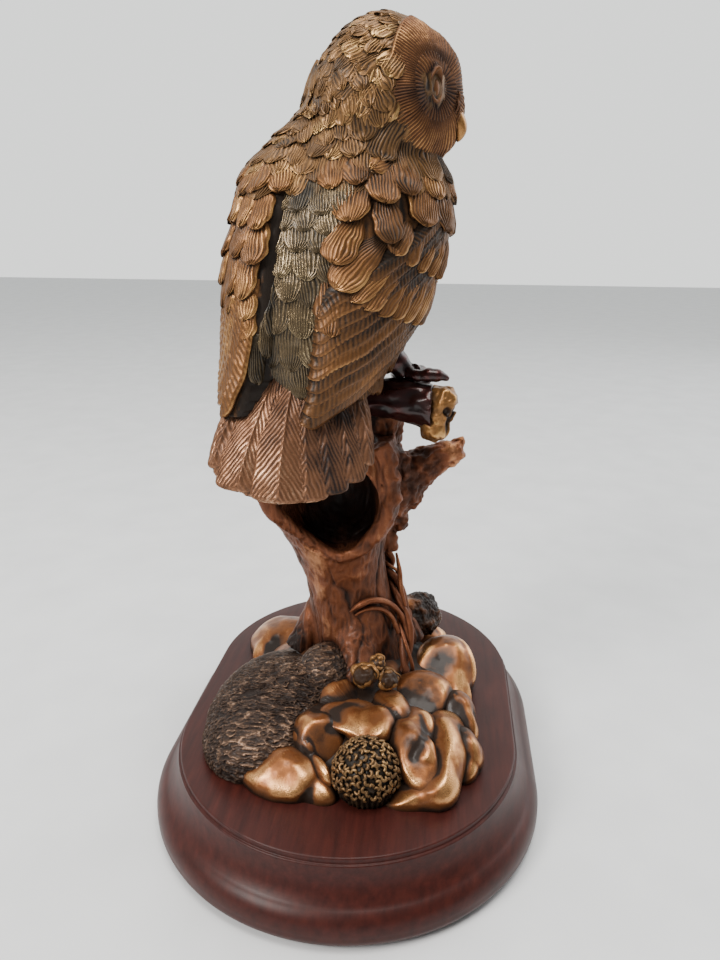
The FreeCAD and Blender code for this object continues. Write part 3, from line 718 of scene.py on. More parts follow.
# height, middle x, middle y, half width, half depth
RIGHT = Loft([(z, x, y, wide - WING_SKIN, deep - WING_SKIN) for z, x, y, wide, deep in (
    (194, -2, -12, 8, 6), (188, -3, -13, 14, 8), (178, -6, -11.5, 19.3, 9.5), (170, -8, -10, 21.2, 10),
    (162, -9.2, -7.8, 21, 10), (148, -13.2, -4.3, 18.5, 9.4), (136, -18.4, 0.9, 13.2, 7.6),
    (127, -23.5, 6, 8.0, 4.8), (121.5, -27.3, 10.8, 4.2, 3))], -45)
LEFT = Loft([(z, x, y, wide - WING_SKIN, deep - WING_SKIN) for z, x, y, wide, deep in (
    (204, 3, 4, 9, 11), (199, 1.5, 8.5, 10, 12.2), (194, 0, 14, 12, 12), (189, -1, 19, 14.5, 12.0),
    (183, -2, 22.5, 17, 11.8), (176, -3, 24.2, 19.5, 11.3), (162, -3.4, 27.2, 22, 12.0),
    (148, -5.4, 28.8, 21.6, 10.6), (136, -12.4, 29.8, 15.8, 8.2), (128, -20.2, 30.2, 9.8, 6.4),
    (122.5, -25.2, 30.6, 5.2, 4.6))], 15)
SKULL_HALF = vec(20.6, 20.1, 21.5)
OWL = Merged([TORSO, RIGHT, LEFT], [(HEAD, SKULL_HALF)], AXIS)
SKULL = Lump(HEAD, [(HEAD, SKULL_HALF, 0)], [(95, 40, 20.6)], soft=0.5, trim=2.5)


def downward(azimuth, tilt):
    """Down along the plumage, leaning by tilt degrees towards a rising azimuth."""
    a = math.radians(tilt)
    round_way = heading(azimuth + 90)
    return vec(0, 0, -1) * math.cos(a) + round_way * math.sin(a)


def make_body():
    """The combed skin under the plumage, and the back, mantle and breast feathers on it."""
    skin = Build()
    z, angle = np.meshgrid(np.linspace(BASE - 2, 206, 230), np.linspace(0, ROUND, 420, endpoint=False),
                           indexing="ij")
    way = np.stack([np.cos(angle), np.sin(angle), 0 * z], -1)
    p = vec(*AXIS[:2], 0) + way * OWL.radius(way, z)[..., None] + vec(0, 0, 1) * z[..., None]
    comb = ridged(p, 1.1, (1, 1, 0.25), 19, warp=0.8)
    # painted shadow: the skin darkens where it turns away from the axis, on the steep walls between the wings
    # and the back
    facing = (OWL.normal(p) * way).sum(-1)
    shade = 0.62 * comb - 0.22 - 0.8 * smooth((0.85 - facing) / 0.3) - 0.25 * smooth((z - 176) / 8)
    skin.add_tube(p + way * (0.45 * comb - 1.1)[..., None], shade, tone=0.4)
    skin.piece("owl_underplumage", FEATHER, "copper_feather", ["owl_body"])

    back = Build()
    rows = [(176, 9), (171, 10), (166, 11), (160, 12), (153.5, 12), (146, 14), (137, 15), (127.5, 19)]
    for k, (z, length) in enumerate(rows):
        for step in (-1.5, -0.5, 0.5, 1.5) if k % 2 else (-2, -1, 0, 1, 2):
            azimuth = 166 - (180 - z) * 0.10 + step * 15 + RANDOM.uniform(-2, 2)
            seat = TORSO.seat_from(AXIS, azimuth, some(z, 1.0))
            feather(back, TORSO, seat, downward(azimuth, 4 * step), length + 4, some(9.4, 0.8), pitch=0.85,
                    lift=0.9, sink=0.6, raised=0.4, depth=0.38, dome=0.2, tone=some(0.5, 0.25), rub=0.42,
                    edge=0.7, ragged=0.5)
    for z in np.arange(158, 128, -6.2):
        inner_side = np.array(math.radians(203 + 0.3 * (z - 128)))
        tip = LEFT.point(inner_side, np.array(some(z, 1.0)))
        feather(back, LEFT, tip, vec(0, 0, -1), 13, some(7.0, 0.6), pitch=0.85, lift=0.9, sink=0.4,
                depth=0.38, dome=0.2, tone=some(0.45, 0.2), rub=0.34, edge=0.7, ragged=0.5)
    back.piece("back_feathers", BACK, "copper_feather")

    mantle = Build()
    for k, z in enumerate(np.arange(204, 177.5, -3.9)):
        width = 5.6 + 3.2 * smooth((200 - z) / 18)
        count = int(ROUND * 23 / width * 1.15)
        for j in range(count):
            azimuth = (j + 0.5 * (k % 2)) * 360 / count + RANDOM.uniform(-4, 4)
            if 228 < azimuth < 290 and z > 188:
                continue
            tilt = 22 * math.sin(math.radians(azimuth - 100)) if z > 190 else 0
            feather(mantle, OWL, OWL.seat(azimuth, some(z, 1.2)), downward(azimuth, some(tilt, 15)),
                    some(width * 1.6, 1.6), some(width, 1.3), pitch=0.90, lift=0.65, sink=0.6,
                    raised=some(0.1, 0.25), depth=0.44, tone=some(0.42, 0.28), blunt=some(0.78, 0.08),
                    ragged=0.9, rows=22, edge=0.45, dome=0.15, root=0.65)
    mantle.piece("mantle_feathers", CROWN, "copper_feather")

    breast = Build()
    for k, z in enumerate(np.arange(184, 126, -5.6)):
        count = 24
        for j in range(count):
            azimuth = (j + 0.5 * (k % 2)) * 360 / count + RANDOM.uniform(-4, 4)
            if 95 < azimuth < 195 or (z > 165 and 195 <= azimuth < 262):
                continue
            seat = TORSO.seat_from(AXIS, azimuth, some(z, 1.0))
            feather(breast, TORSO, seat, downward(azimuth, some(0, 10)), 12, 8.6, lift=0.9, sink=0.6,
                    raised=0.1, tone=some(0.40, 0.2), rub=0.42, rows=18, fine=5.0)
    breast.piece("breast_feathers", FEATHER, "copper_feather")


def make_head():
    """The skull and the ragged feathers all over it but the face, in a right and a left half."""
    skull = Build()
    way, p = SKULL.grid(110, 300, low=-1.5)
    comb = ridged(p, 1.0, (1, 1, 0.3), 15, warp=1.0)
    skull.add_tube(p + way * (0.5 * (comb - 1.1))[..., None], 0.55 * comb - 0.12, tone=0.4)
    skull.piece("owl_skull", CROWN, "copper_feather", ["owl_head"])
    coats = [Build(), Build()]
    total = 330
    for k in range(total):
        rise = 1 - (k + 0.5) / total * 1.8
        angle = k * SPIRAL_STEP
        around = math.sqrt(max(0.0, 1 - rise * rise))
        way = vec(around * math.cos(angle), around * math.sin(angle), rise)
        facing = float(np.dot(way, LOOK))
        if facing > 0.40 or rise < -0.72:
            continue
        tip = SKULL.drop(HEAD + way * 20)
        back = unit(vec(0, 0, -1) - 0.85 * LOOK + 0.25 * RANDOM.normal(size=3))
        near_face = smooth((facing + 0.45) / 0.75)
        feather(coats[int(way[1] > 0.1)], SKULL, tip, back, some(9.6, 1.6), some(4.9, 1.1), pitch=0.90,
                lift=0.55, raised=some(-0.05, 0.22), depth=0.48, dome=0.06,
                tone=some(0.32, 0.22) + 0.32 * near_face, rub=0.54, rows=24, blunt=some(0.84, 0.08),
                root=0.78, ragged=1.1, fine=6.5, edge=0.38)
    coats[0].piece("crown_feathers_right", CROWN, "copper_feather")
    coats[1].piece("crown_feathers_left", CROWN, "copper_feather")


EYE = (1.75, 3.1)                 # an eye's half width and half height
EYE_PLACE = (0.44, 0.10)          # its middle, across and up the disc, as shares of the disc's reach
DISC_REACH = math.radians(66)     # the disc's half width, seen from the head's middle
DISC_HALF = 24.0                  # the disc's half width in millimetres


def make_face():
    """The facial disc: two shallow dishes round the eyes, combed outwards, with a ridge between."""
    steps = 310
    a, b = np.meshgrid(np.linspace(-1.16, 1.16, steps), np.linspace(-1.14, 1.12, steps), indexing="ij")
    flat = np.hypot(a, b)
    ang = flat * DISC_REACH
    spread = np.where(ang > 1e-6, np.sin(ang) / np.maximum(flat, 1e-6), DISC_REACH)
    way = np.cos(ang)[..., None] * LOOK + (a * spread)[..., None] * SIDE
    way = way + (b * spread)[..., None] * vec(0, 0, 1)
    ball = way * 20
    ea, eb = (np.abs(a) - EYE_PLACE[0]) * DISC_HALF, (b - EYE_PLACE[1]) * DISC_HALF
    from_eye = np.hypot(ea, eb * 0.9)
    near_eye = np.exp(-(from_eye / 6.0) ** 2)
    almond = np.hypot(ea / EYE[0], eb / EYE[1])
    lid = np.exp(-((almond - 1.16) / 0.24) ** 2)
    edge = np.hypot(a * (1 + 0.5 * smooth(-(b + 0.05) / 0.9)), (b + 0.02) / 0.98)

    # grooves that fan out from each eye, twice as many at each ring
    drift = noise(ball, 4.0, 5) + 0.5 * noise(ball, 1.7, 6)
    spokes = np.where(from_eye < 3.9, 22, np.where(from_eye < 7.5, 44, 88))
    valley = np.abs(np.cos(0.5 * (np.arctan2(eb, ea) * spokes + 1.3 * drift))) ** 2
    fade = smooth((almond - 1.28) / 0.2) * smooth((1.05 - edge) / 0.04)
    fade = fade * (0.75 + 0.25 * noise(ball, 2.5, 8))

    # dishes, brows, the ridge between the eyes, the rim that falls away and the eye sockets
    radius = 21.6 - 2.4 * near_eye + 0.25 * smooth((b - 0.5) / 0.3)
    radius = radius + 1.1 * np.exp(-((ea - 0.6) / 3.6) ** 2 - ((eb - 4.6) / 1.6) ** 2)
    radius = radius + 1.3 * np.exp(-(a / 0.15) ** 2) * smooth((b + 0.62) / 0.3) * smooth((0.9 - b) / 0.5)
    radius = radius - 0.9 * smooth((edge - 0.70) / 0.30) * (0.12 + 0.88 * smooth((0.6 - b) / 0.3))
    radius = radius + 0.25 * rough_noise(ball, 4.0, 3, 9) - 9.0 * smooth((edge - 1.03) / 0.18)
    radius = radius - 0.48 * valley * fade - 1.2 * smooth((1.05 - almond) / 0.25)
    radius = radius + lid * (0.55 + 0.75 * smooth(eb / 3.0))

    # painted shade: a dark ring just outside each eye and a darker dish round it, lighter farther out
    shade = 0.46 + 0.16 * lid - 0.30 * np.exp(-((almond - 1.6) / 0.3) ** 2) - 0.52 * valley * fade
    shade = shade - 0.22 * near_eye + 0.22 * smooth(from_eye / 15) + 0.16 * noise(ball, 3.0, 12)
    shade = shade + 0.22 * np.exp(-((eb - 5.0) / 2.0) ** 2 - (ea / 5) ** 2)
    points = HEAD + way * radius[..., None] * vec(1, 1, 1.02)
    rim = np.concatenate([np.arange(steps) * steps, (steps - 1) * steps + np.arange(1, steps),
                          np.arange(steps - 2, -1, -1) * steps + steps - 1, np.arange(steps - 2, 0, -1)])
    tris = np.stack([np.full(len(rim), steps * steps), np.roll(rim, -1), rim], -1)
    build = Build()
    build.add(np.concatenate([points.reshape(-1, 3), [HEAD]]), grid_quads(steps, steps)[:, ::-1], tris,
              rub=np.append(shade.reshape(-1), 0.1))
    build.piece("facial_disc", FACE, "copper_face", ["facial_disc"])

    eyes = Build()
    for sign in (-1, 1):
        flat = math.hypot(*EYE_PLACE)
        ang = flat * DISC_REACH
        way = (math.cos(ang) * LOOK + sign * EYE_PLACE[0] * math.sin(ang) / flat * SIDE
               + EYE_PLACE[1] * math.sin(ang) / flat * vec(0, 0, 1))
        place = HEAD + way * 18.5
        across = unit(np.cross(vec(0, 0, 1), way))
        upright = np.cross(way, across)
        turn = np.linspace(0, ROUND, 48, endpoint=False)[None, :]
        open_by = np.linspace(0.02, math.pi * 0.62, 24)[:, None]
        ball = (place + (1.9 * np.cos(open_by))[..., None] * way
                + (EYE[0] * np.sin(open_by) * np.cos(turn))[..., None] * across
                + (EYE[1] * np.sin(open_by) * np.sin(turn))[..., None] * upright)
        eyes.add_tube(ball)
    eyes.piece("owl_eyes", FACE, "gilt", ["eyes"])

    beak = Build()
    s = np.linspace(0, 1, 30)[:, None]
    around = np.linspace(0, ROUND, 30, endpoint=False)[None, :]
    bulge = 20.2 + 2.3 * np.sin(s * math.pi * 0.60) - 0.9 * s ** 3
    middle = HEAD + LOOK * bulge[..., None] + vec(0, 0, 1) * (-2.0 - 7.6 * s)[..., None]
    wide = 2.4 * (1 - s ** 2.2) ** 0.7 * smooth(s / 0.12 + 0.3) + 0.12
    deep = 2.0 * (1 - s ** 2.5) ** 0.7 + 0.12
    ring = middle + (wide * np.cos(around))[..., None] * SIDE + (deep * np.sin(around))[..., None] * LOOK
    beak.add_tube(ring, 0.55, tone=0.55)
    beak.piece("owl_beak", GILT, "gilt", ["beak"])
    bristles = Build()
    for k in range(46):
        sign = -1 if k % 2 else 1
        start = HEAD + LOOK * some(20.9, 0.5) + SIDE * sign * some(1.7, 0.9) + vec(0, 0, some(0.5, 2.6))
        drop = start + LOOK * some(0.4, 0.4) + SIDE * sign * some(1.0, 0.8) + vec(0, 0, some(-4.2, 1.2))
        half_way = (start + drop) / 2 + LOOK * 0.6
        path = [(*start, 0.25), (*half_way, 0.34), (*drop, 0.08)]
        bristles.add_tube(tube(path, 9, 7), some(0.45, 0.15))
    bristles.piece("beak_bristles", FACE, "copper_face")


def make_right_wing():
    """Ten long flight feathers under the fans of coverts and the shoulder's scapulars."""
    flight = Build()
    for k in range(10):
        steps = [(172.5 + 0.9 * k, 123.5 + 3.0 * k), (187, 127.1 + 3.1 * k), (205, 131.6 + 3.1 * k),
                 (222, 136.6 + 3.1 * k), (240, 142.2 + 3.0 * k), (257, 148.4 + 3.0 * k)]
        track = np.array([OWL.seat(azimuth, z) for azimuth, z in steps])
        length = np.linalg.norm(np.diff(track, axis=0), axis=1).sum()
        feather(flight, OWL, None, None, length, 6.0, track=track, vane=True, pitch=1.15, slant=58,
                lift=0.6, sink=-0.3, raised=-0.25 + 0.05 * k, roll=1.05, depth=0.20, stain=0.32,
                tone=some(0.36, 0.12), rub=0.40, rows=150, root=0.85, blunt=0.94, dome=0.25, fine=5.0,
                edge=1.0)
    flight.piece("right_flight_feathers", FEATHER, "copper_feather", ["right_wing"])

    coverts = Build()
    # azimuth and height of the tip, lean, length, width, lift, bend
    for azimuth, z, lean, length, width, lift, bend in (
            (277, 146.5, -24, 19, 9.0, 0.6, 4), (265, 147, -24, 19, 9.0, 0.7, 4),
            (253, 147.5, -24, 20, 9.0, 0.8, 5), (242, 148, -25, 20, 9.0, 1.0, 5),
            (232, 149, -26, 21, 9.0, 1.2, 6), (223, 150, -28, 21, 9.0, 1.4, 6),
            (214, 151, -30, 21, 9.0, 1.6, 6), (206, 152.5, -32, 21, 9.0, 1.8, 7),
            (198.5, 154.5, -34, 21, 9.0, 2.1, 7), (191, 157.5, -34, 20, 10.5, 2.5, 6),
            (275, 158.5, -16, 13, 6.5, 1.0, 3), (263, 159.5, -18, 13, 6.2, 1.2, 3),
            (252, 160.5, -20, 13, 6.0, 1.5, 4), (242, 161.5, -22, 13, 6.0, 1.8, 4),
            (233, 163.5, -22, 12, 5.8, 2.1, 4), (225, 166, -22, 11, 5.8, 2.3, 3)):
        feather(coverts, OWL, OWL.seat(azimuth, z), downward(azimuth, lean), length, width, lift=lift,
                sink=0.3, raised=-0.6, roll=1.25, dome=0.55, depth=0.28, stain=0.35, bend=bend,
                tone=some(0.52, 0.15), rows=34, root=0.6, blunt=0.74, edge=1.2)
    coverts.piece("right_fan_coverts", FEATHER, "copper_feather")

    scapulars = Build()
    for azimuth, z, lean, length, width, lift, bend in (
            (281, 171, 0, 14, 10.0, 1.6, 0), (263, 171.5, -4, 14, 10.5, 1.8, 1),
            (245, 173, -8, 15, 11.0, 2.1, 1), (222, 169, 0, 12, 8.6, 2.9, 0),
            (221, 178, -3, 13, 9.4, 2.5, 0), (200, 173.5, 0, 15, 10.0, 2.2, 0),
            (190, 164, -18, 15, 11.0, 2.2, 3), (183, 150.5, 4, 11, 6.0, 1.6, 0),
            (188.5, 146, -5, 13, 7.0, 2.0, 0), (236, 180.5, -4, 12, 9.0, 1.9, 0),
            (255, 180, -2, 12, 9.0, 1.6, 0), (273, 180, 0, 12, 9.0, 1.4, 0),
            (207, 182.5, 4, 11, 8.5, 1.9, 0), (189, 181.5, 4, 11, 8.4, 1.6, 0),
            (216, 186, -66, 8, 4.8, 2.4, 0)):
        feather(scapulars, OWL, OWL.seat(azimuth, z), downward(azimuth, lean), length, width, lift=lift,
                sink=0.4, raised=-0.4, dome=0.40, depth=0.40, bend=bend, tone=some(0.52, 0.18), rub=0.52,
                rows=32, blunt=0.70, ragged=0.5)
    scapulars.piece("right_scapulars", FEATHER, "copper_feather")


def make_left_wing():
    """Eight upright flight feathers under seven rows of coverts."""
    flight = Build()
    for k in range(8):
        outward = 7 - k
        heights = np.linspace(123.5 + 2.7 * outward, 160, 7)
        track = np.array([OWL.seat(137.5 + 0.15 * (z - 124) - 5.0 * outward, z) for z in heights])
        feather(flight, OWL, None, None, 36.5 - 2.7 * outward, 6.6, track=track, vane=True, pitch=1.15,
                sink=0.3, raised=-0.5 + 0.08 * k, roll=0.6, depth=0.30, stain=0.36, tone=some(0.70, 0.1),
                rub=0.56, rows=90, root=0.85, blunt=0.86)
    flight.piece("left_flight_feathers", FEATHER, "copper_feather", ["left_wing"])

    coverts = Build()
    # height and first azimuth of the tips, width, lift, length
    for z, first, width, lift, length in (
            (139, 138, 6.5, 0.8, 12), (144, 139.5, 7.5, 1.0, 14), (149.5, 140.5, 8.0, 1.3, 14),
            (155.5, 141, 9.0, 1.7, 16), (163.5, 142.5, 9.0, 1.9, 15), (172, 145.5, 8.6, 2.1, 14),
            (180, 149, 8.4, 1.9, 12)):
        for k in range(7):
            azimuth = first - k * (width + 3.4) * 1.1 + RANDOM.uniform(-2, 2)
            if azimuth > 60:
                tip = OWL.seat(azimuth, some(z + k * 0.7, 1.0))
                feather(coverts, OWL, tip, downward(azimuth, some(6 + 2 * k, 7)), some(length, 1.0),
                        some(width, 0.8), lift=lift - 0.13 * k, sink=0.4, raised=-0.4, roll=0.3,
                        dome=0.35, depth=0.38, ragged=0.5, tone=some(0.58, 0.15), rub=0.54, blunt=0.68)
    coverts.piece("left_coverts", FEATHER, "copper_feather")


def make_tail():
    """A leaning fan: sixteen narrow feathers under seven broad ones."""
    fan = Loft([(140, -10.0, 12.5, 12.0, 6.2), (135, -13, 13, 15, 6.2), (126, -18.5, 14.6, 20.0, 5.7),
                (112, -25.5, 15.2, 22.8, 4.4), (101, -29.5, 15.5, 22.6, 3.4),
                (96, -31, 15.5, 22.6, 3.2)], 102)
    core = Build()
    core.add(*fan.skin(1.2, 30, 80, 113, 137), rub=0.1, tone=0.4)
    core.piece("tail_core", TAIL, "copper_feather", ["tail"])
    build = Build()
    plan = [
        # share across the fan, lean, width, lift, tone, slant
        (0.93, 4, 12.0, 0.0, 0.62, 30), (-0.93, 4, 10.0, 0.0, 0.22, 18),
        (-0.72, 4, 12.0, 0.5, 0.22, 18), (-0.48, 4, 12.0, 1.1, 0.26, 20),
        (0.60, 3, 20.0, 1.0, 0.80, 32), (-0.20, 2, 13.0, 1.8, 0.45, 24), (0.13, 1, 17.0, 2.6, 0.74, 36),
    ]
    under = [(share, 3, 7.0, -0.6, 0.5 + 0.3 * share, 30) for share in np.linspace(-0.97, 0.97, 16)]
    for share, lean, width, lift, tone, slant in under + plan:
        z = 128.5 - math.sqrt(27.0 ** 2 - (21.5 * share) ** 2)
        angle = math.acos(share)
        tip = fan.point(np.array(angle), np.array(float(z)))
        round_way = unit(fan.point(np.array(angle - 0.05), np.array(float(z))) - tip)
        a = math.radians(lean * (1 if share > 0 else -1))
        down = unit(fan.point(np.array(angle), np.array(z - 2.0)) - tip)
        feather(build, fan, tip, down * math.cos(a) + round_way * math.sin(a), 33, width, vane=True,
                pitch=1.15, slant=slant, lift=lift * 0.55, sink=-0.1 * max(lift, 0), raised=-0.3,
                stain=0.34, dome=0.5, tone=tone, rub=0.46, rows=96, root=0.6, blunt=0.94, thick=2.0,
                ragged=0.2, fine=5.0, edge=1.0)
    build.piece("tail_feathers", TAIL, "copper_feather")


# ---------------------------------------------------------------- stump, branch and feet
HOLLOW_RIM = [(-8, -7, 112), (-8, -9.5, 106), (-8.5, -10.8, 99), (-9, -10, 92), (-9.5, -7, 85),
              (-10.5, -2, 79.5), (-11, 4, 77), (-10.5, 9, 79), (-11, 14, 82.5), (-13, 19, 87),
              (-16, 23.5, 93), (-17, 27, 102)]


def make_stump():
    """Stump and limbs under one bark, with a thick rim to the hollow, root flares and knots."""
    radii = [3.4, 3.2, 3.0, 2.9, 2.8, 2.2, 1.8, 1.7, 1.9, 2.2, 2.6, 2.6]
    rim = [(*point, r) for point, r in zip(HOLLOW_RIM, radii)]
    flares = [
        [(6, 12, 54, 4.5), (4, 16, 44, 5), (2, 20, 36, 5)],
        [(9, -8, 56, 4.5), (10, -13, 46, 5), (9, -18, 37, 5)],
        [(15, 3, 54, 5), (19, 4, 44, 6), (24, 6, 34, 6)],
        [(1, 0, 60, 4), (-3.5, -0.5, 50, 6), (-8, -1, 42, 7), (-14, -2, 34, 7)],
    ]
    knots = [
        [(6, -9, 97, 5), (8, -15, 93, 5.5), (9, -18, 89, 3)],
        [(9, -9, 86, 4), (9, -13, 82, 3.2), (8, -14, 79, 1.8)],
        [(9, -7, 80, 4), (8, -10, 76, 3.0), (7, -11, 72, 1.8)],
        [(8, -18, 101, 5), (8, -25, 104.5, 4.6), (8.5, -31.5, 108, 3.2)],
        [(4, -10, 108, 3), (3, -13, 104, 3), (4, -15, 99, 2.5)],
    ]
    extras = [tube(path, 50, 24, wobble=0.4) for path in [rim] + flares + knots]
    p, normal, quads = melted(["stump", "fork_limb", "broken_limb"], extras, 0.42, rounds=3)
    limb = smooth((-9.5 - p[:, 1]) / 4) * smooth((p[:, 2] - 68) / 6)
    fibre = ridged(p, 1.2, (1, 1, 0.25), 31)
    lumps = rough_noise(p, 7.0, 2, 11)
    knobs = rough_noise(p, 3.2, 3, 21)
    band = along(p, HOLLOW_RIM, 4.2)
    crack = ridged(p, 5.0, (1, 1, 0.2), 37, warp=1.5) ** 10
    # a rubbed strip runs down from the hollow to the cups; the hollow's inside stays dark
    strip = along(p, [(-10, 11.5, 76), (-8, 12.5, 66), (-7.5, 11.5, 57), (-9, 9, 47), (-12, 8, 42)], 3.6)
    inside = smooth((p[:, 0] + 6) / 3) * smooth((12.5 - np.hypot(p[:, 0] + 1, p[:, 1] - 5.5)) / 1.5)
    inside = inside * smooth((p[:, 2] - 76) / 4)
    height = 0.35 * lumps + (0.34 - 0.2 * strip) * (fibre - 0.7) + limb * (0.9 * knobs + 0.25 * lumps)
    height = height + 0.22 * band * (ridged(p, 1.3, (1, 0.45, 0.45), 41) - 0.6)
    height = height - 0.6 * crack * (1 - band) * (1 - strip)
    p = p + normal * height[:, None]
    tip = smooth((-23 - p[:, 1]) / 6)
    rub = 0.36 + 0.35 * (fibre - 0.62) + 0.10 * lumps + 0.34 * strip + 0.10 * band - 0.30 * crack * (1 - band)
    rub = rub * (1 - limb) + limb * (0.16 + 0.34 * smooth(knobs * 0.8 + 0.3) + 0.38 * tip)
    rub = rub * (1 - inside) - 0.25 * smooth((48 - p[:, 2]) / 12)
    build = Build()
    build.add(p, quads, rub=rub)
    build.piece("stump_bark", BARK, "copper_bark", ["stump", "fork_limb", "broken_limb"])


def make_perch():
    """The smooth dark branch under the owl, and its pitted gilded burl."""
    p, normal, quads = melted(["perch_branch"], [], 0.4, rounds=4)
    swirl = ridged(p, 2.4, (1, 0.3, 1), 51)
    p = p + normal * (0.5 * rough_noise(p, 5.0, 2, 52) + 0.45 * (swirl - 0.7))[:, None]
    build = Build()
    build.add(p, quads, rub=0.30 + 0.5 * (swirl - 0.6) + 0.15 * noise(p, 3.0, 55))
    build.piece("perch_bark", PERCH, "copper_bark", ["perch_branch"])

    low, high = box_mm("branch_burl")
    middle = (low + high) / 2 + vec(0, 1.6, 0)
    burl = Lump(middle, [(middle, (high - low) / 2 * vec(0.92, 0.95, 0.92), 0),
                         (middle + vec(-1, -2.5, 2.5), (5.5, 4.0, 6.0), 0),
                         (middle + vec(-1, 0.5, -4.5), (5, 4.6, 4.4), 0)], soft=0.7)
    way, p = burl.grid(150, 220, low=-1.5)
    knobs = rough_noise(p, 3.6, 3, 61)
    pits = smooth((noise(p, 3.4, 63) - 0.18) / 0.25)
    build = Build()
    build.add_tube(p + way * (0.75 * knobs - 1.5 * pits)[..., None], 0.46 + 0.30 * knobs - 0.75 * pits,
                   ends=(0.5, 0.5), tone=0.55)
    build.piece("gilded_burl", GILT, "gilt", ["branch_burl"])


def make_feet():
    """Two shanks, each with three ringed toes over the branch's far side and one on the near side."""
    top = 130.3                       # the branch's upper side
    build = Build()
    for x, y in ((3.0, -15.0), (4.5, 7.0)):
        toes = [[(x + 1, y + 10, top + 13, 5.0), (x + 1, y + 6, top + 7, 4.2),
                 (x + 1, y + 1, top + 1.0, 3.0)]]
        for step in (-4.2, 0.0, 4.2):
            toes.append([(x + 0.5, y + 0.3 * step, top + 2.2, 2.0), (x + 4, y + 0.8 * step, top + 1.6, 1.6),
                         (x + 6, y + step, top + 0.6, 1.9), (x + 8.5, y + 1.1 * step, top - 1.6, 1.5),
                         (x + 10, y + 1.15 * step, top - 4.2, 1.2),
                         (x + 10.2, y + 1.15 * step, top - 7, 0.3)])
        toes.append([(x - 1, y, top + 1.8, 2.0), (x - 3, y - 2.5, top + 1.4, 1.7),
                     (x - 3.6, y - 6.5, top + 1.7, 2.0), (x - 3.2, y - 9.4, top + 1.4, 1.6),
                     (x - 2.6, y - 11.6, top + 0.4, 0.5)])
        for k, toe in enumerate(toes):
            rings = tube(toe, 44, 22, wobble=0.16, seed=k)
            scale = np.cos(np.linspace(0, 26, 44))[:, None] * 0.10
            rings = rings + unit(rings - rings.mean(1, keepdims=True)) * scale[..., None]
            build.add_tube(rings, np.repeat(0.30 + scale * 2, 22), ends=(0.3, 0.3))
    build.piece("owl_feet", PERCH, "copper_bark", ["left_foot", "right_foot"])


def make_ivy():
    """Three stems twisted together up the stump's right side, and three thin shoots."""
    path = np.array([(-8, -17, 34), (-1.5, -16.8, 46), (5.5, -14.2, 55), (10.2, -10.0, 64), (12.5, -8.2, 74),
                     (12, -7.6, 84)], float)
    line = spline(path, 120)
    ahead = unit(np.gradient(line, axis=0))
    side = unit(np.cross(ahead, vec(0.2, 0.3, 1)))
    up = np.cross(side, ahead)
    build = Build()
    t = np.linspace(0, 1, 120)
    for k, (size, offset) in enumerate(((1.25, 1.25), (1.1, 1.35), (0.6, 2.2))):
        turn = ROUND * (2.1 * t + k / 2.6)
        middle = line + (offset * np.cos(turn))[:, None] * side + (offset * np.sin(turn))[:, None] * up
        rings = tube(np.column_stack([middle, np.full(120, size)]), 120, 14, wobble=0.14, seed=k)
        build.add_tube(rings, 0.34 + 0.1 * k)
    shoots = [
        [(-8.6, 1, 57, 0.5), (-9.0, -1.5, 59.5, 0.9), (-7.6, -5, 60.8, 1.0), (-4, -9.6, 59.0, 1.0),
         (-1, -13.2, 55.0, 0.9), (0.5, -15.6, 50.0, 1.0), (-2, -17.5, 44, 0.9)],
        [(-8.0, -0.5, 55.5, 0.4), (-7.8, -3.5, 57.6, 0.7), (-5.4, -7.5, 57.2, 0.8), (-2.6, -11.6, 53.0, 0.8),
         (-2.4, -14.2, 47.0, 0.8)],
        [(10, -12, 70, 0.5), (6, -13.4, 66, 0.8), (2.6, -14.4, 60.5, 0.8), (1.2, -16.0, 55.0, 0.5)],
    ]
    for k, shoot in enumerate(shoots):
        build.add_tube(tube(shoot, 60, 12, wobble=0.12, seed=10 + k), 0.52)
    build.piece("twisted_ivy", BARK, "copper_bark", ["ivy_stem"])


# ---------------------------------------------------------------- ground
GROUND_TOP = 22.0                 # the plinth's upper side, where the ground stands
CUT_OFF = GROUND_TOP - 0.3        # the ground's pieces are flat below this


def convexity(p, way):
    """How far a skin's points stand out from their neighbours: above 0 on rims, below 0 in dips."""
    span = 7
    near = p
    for _ in range(2):
        near = sum(np.roll(near, k, 1) for k in range(-span, span + 1)) / (2 * span + 1)
        rows = np.clip(np.arange(len(p))[:, None] + np.arange(-span, span + 1), 0, len(p) - 1)
        near = near[rows].mean(1)
    return ((p - near) * way).sum(-1)


def foot_and_contact_shade(p, others):
    """Painted shade and patina at a rock's foot and where others press against it, as a change of shade."""
    shade = -0.75 * (1 - smooth((p[..., 2] - GROUND_TOP - 0.3) / 4.6))
    for other in others:
        shade = shade - 0.65 * smooth((1.30 - other.level(p)) / 0.30)
    return shade


def add_lump(build, lump, others, rough, seed, rub, grain=5.0, folds=(), rows=120, cols=220):
    """A rock: folds are paths with a width and a height, above 0 for a ridge, below for a crevice."""
    way, p = lump.grid(rows, cols)
    height = rough * (noise(p, grain, seed) + 0.25 * noise(p, grain / 2.2, seed + 1))
    height = height + 0.03 * noise(p, 1.2, seed + 9)
    shade = rub + 0.36 * noise(p, 7.0, seed + 4) + 0.08 * noise(p, 1.6, seed + 5)
    for path, width, rise in folds:
        near = along(p, path, width)
        height = height + rise * near
        shade = shade + (0.15 if rise > 0 else -0.40) * near
    p = p + way * height[..., None]
    bulge = convexity(p, way)
    shade = shade + 0.40 * np.tanh((bulge - np.median(bulge)) / 0.16)
    # painted shade at the rock's foot and where other rocks press against it
    shade = shade + foot_and_contact_shade(p, [other for other in others if other is not lump])
    p[..., 2] = np.maximum(p[..., 2], CUT_OFF)
    build.add_tube(p, shade, ends=(0.1, rub))


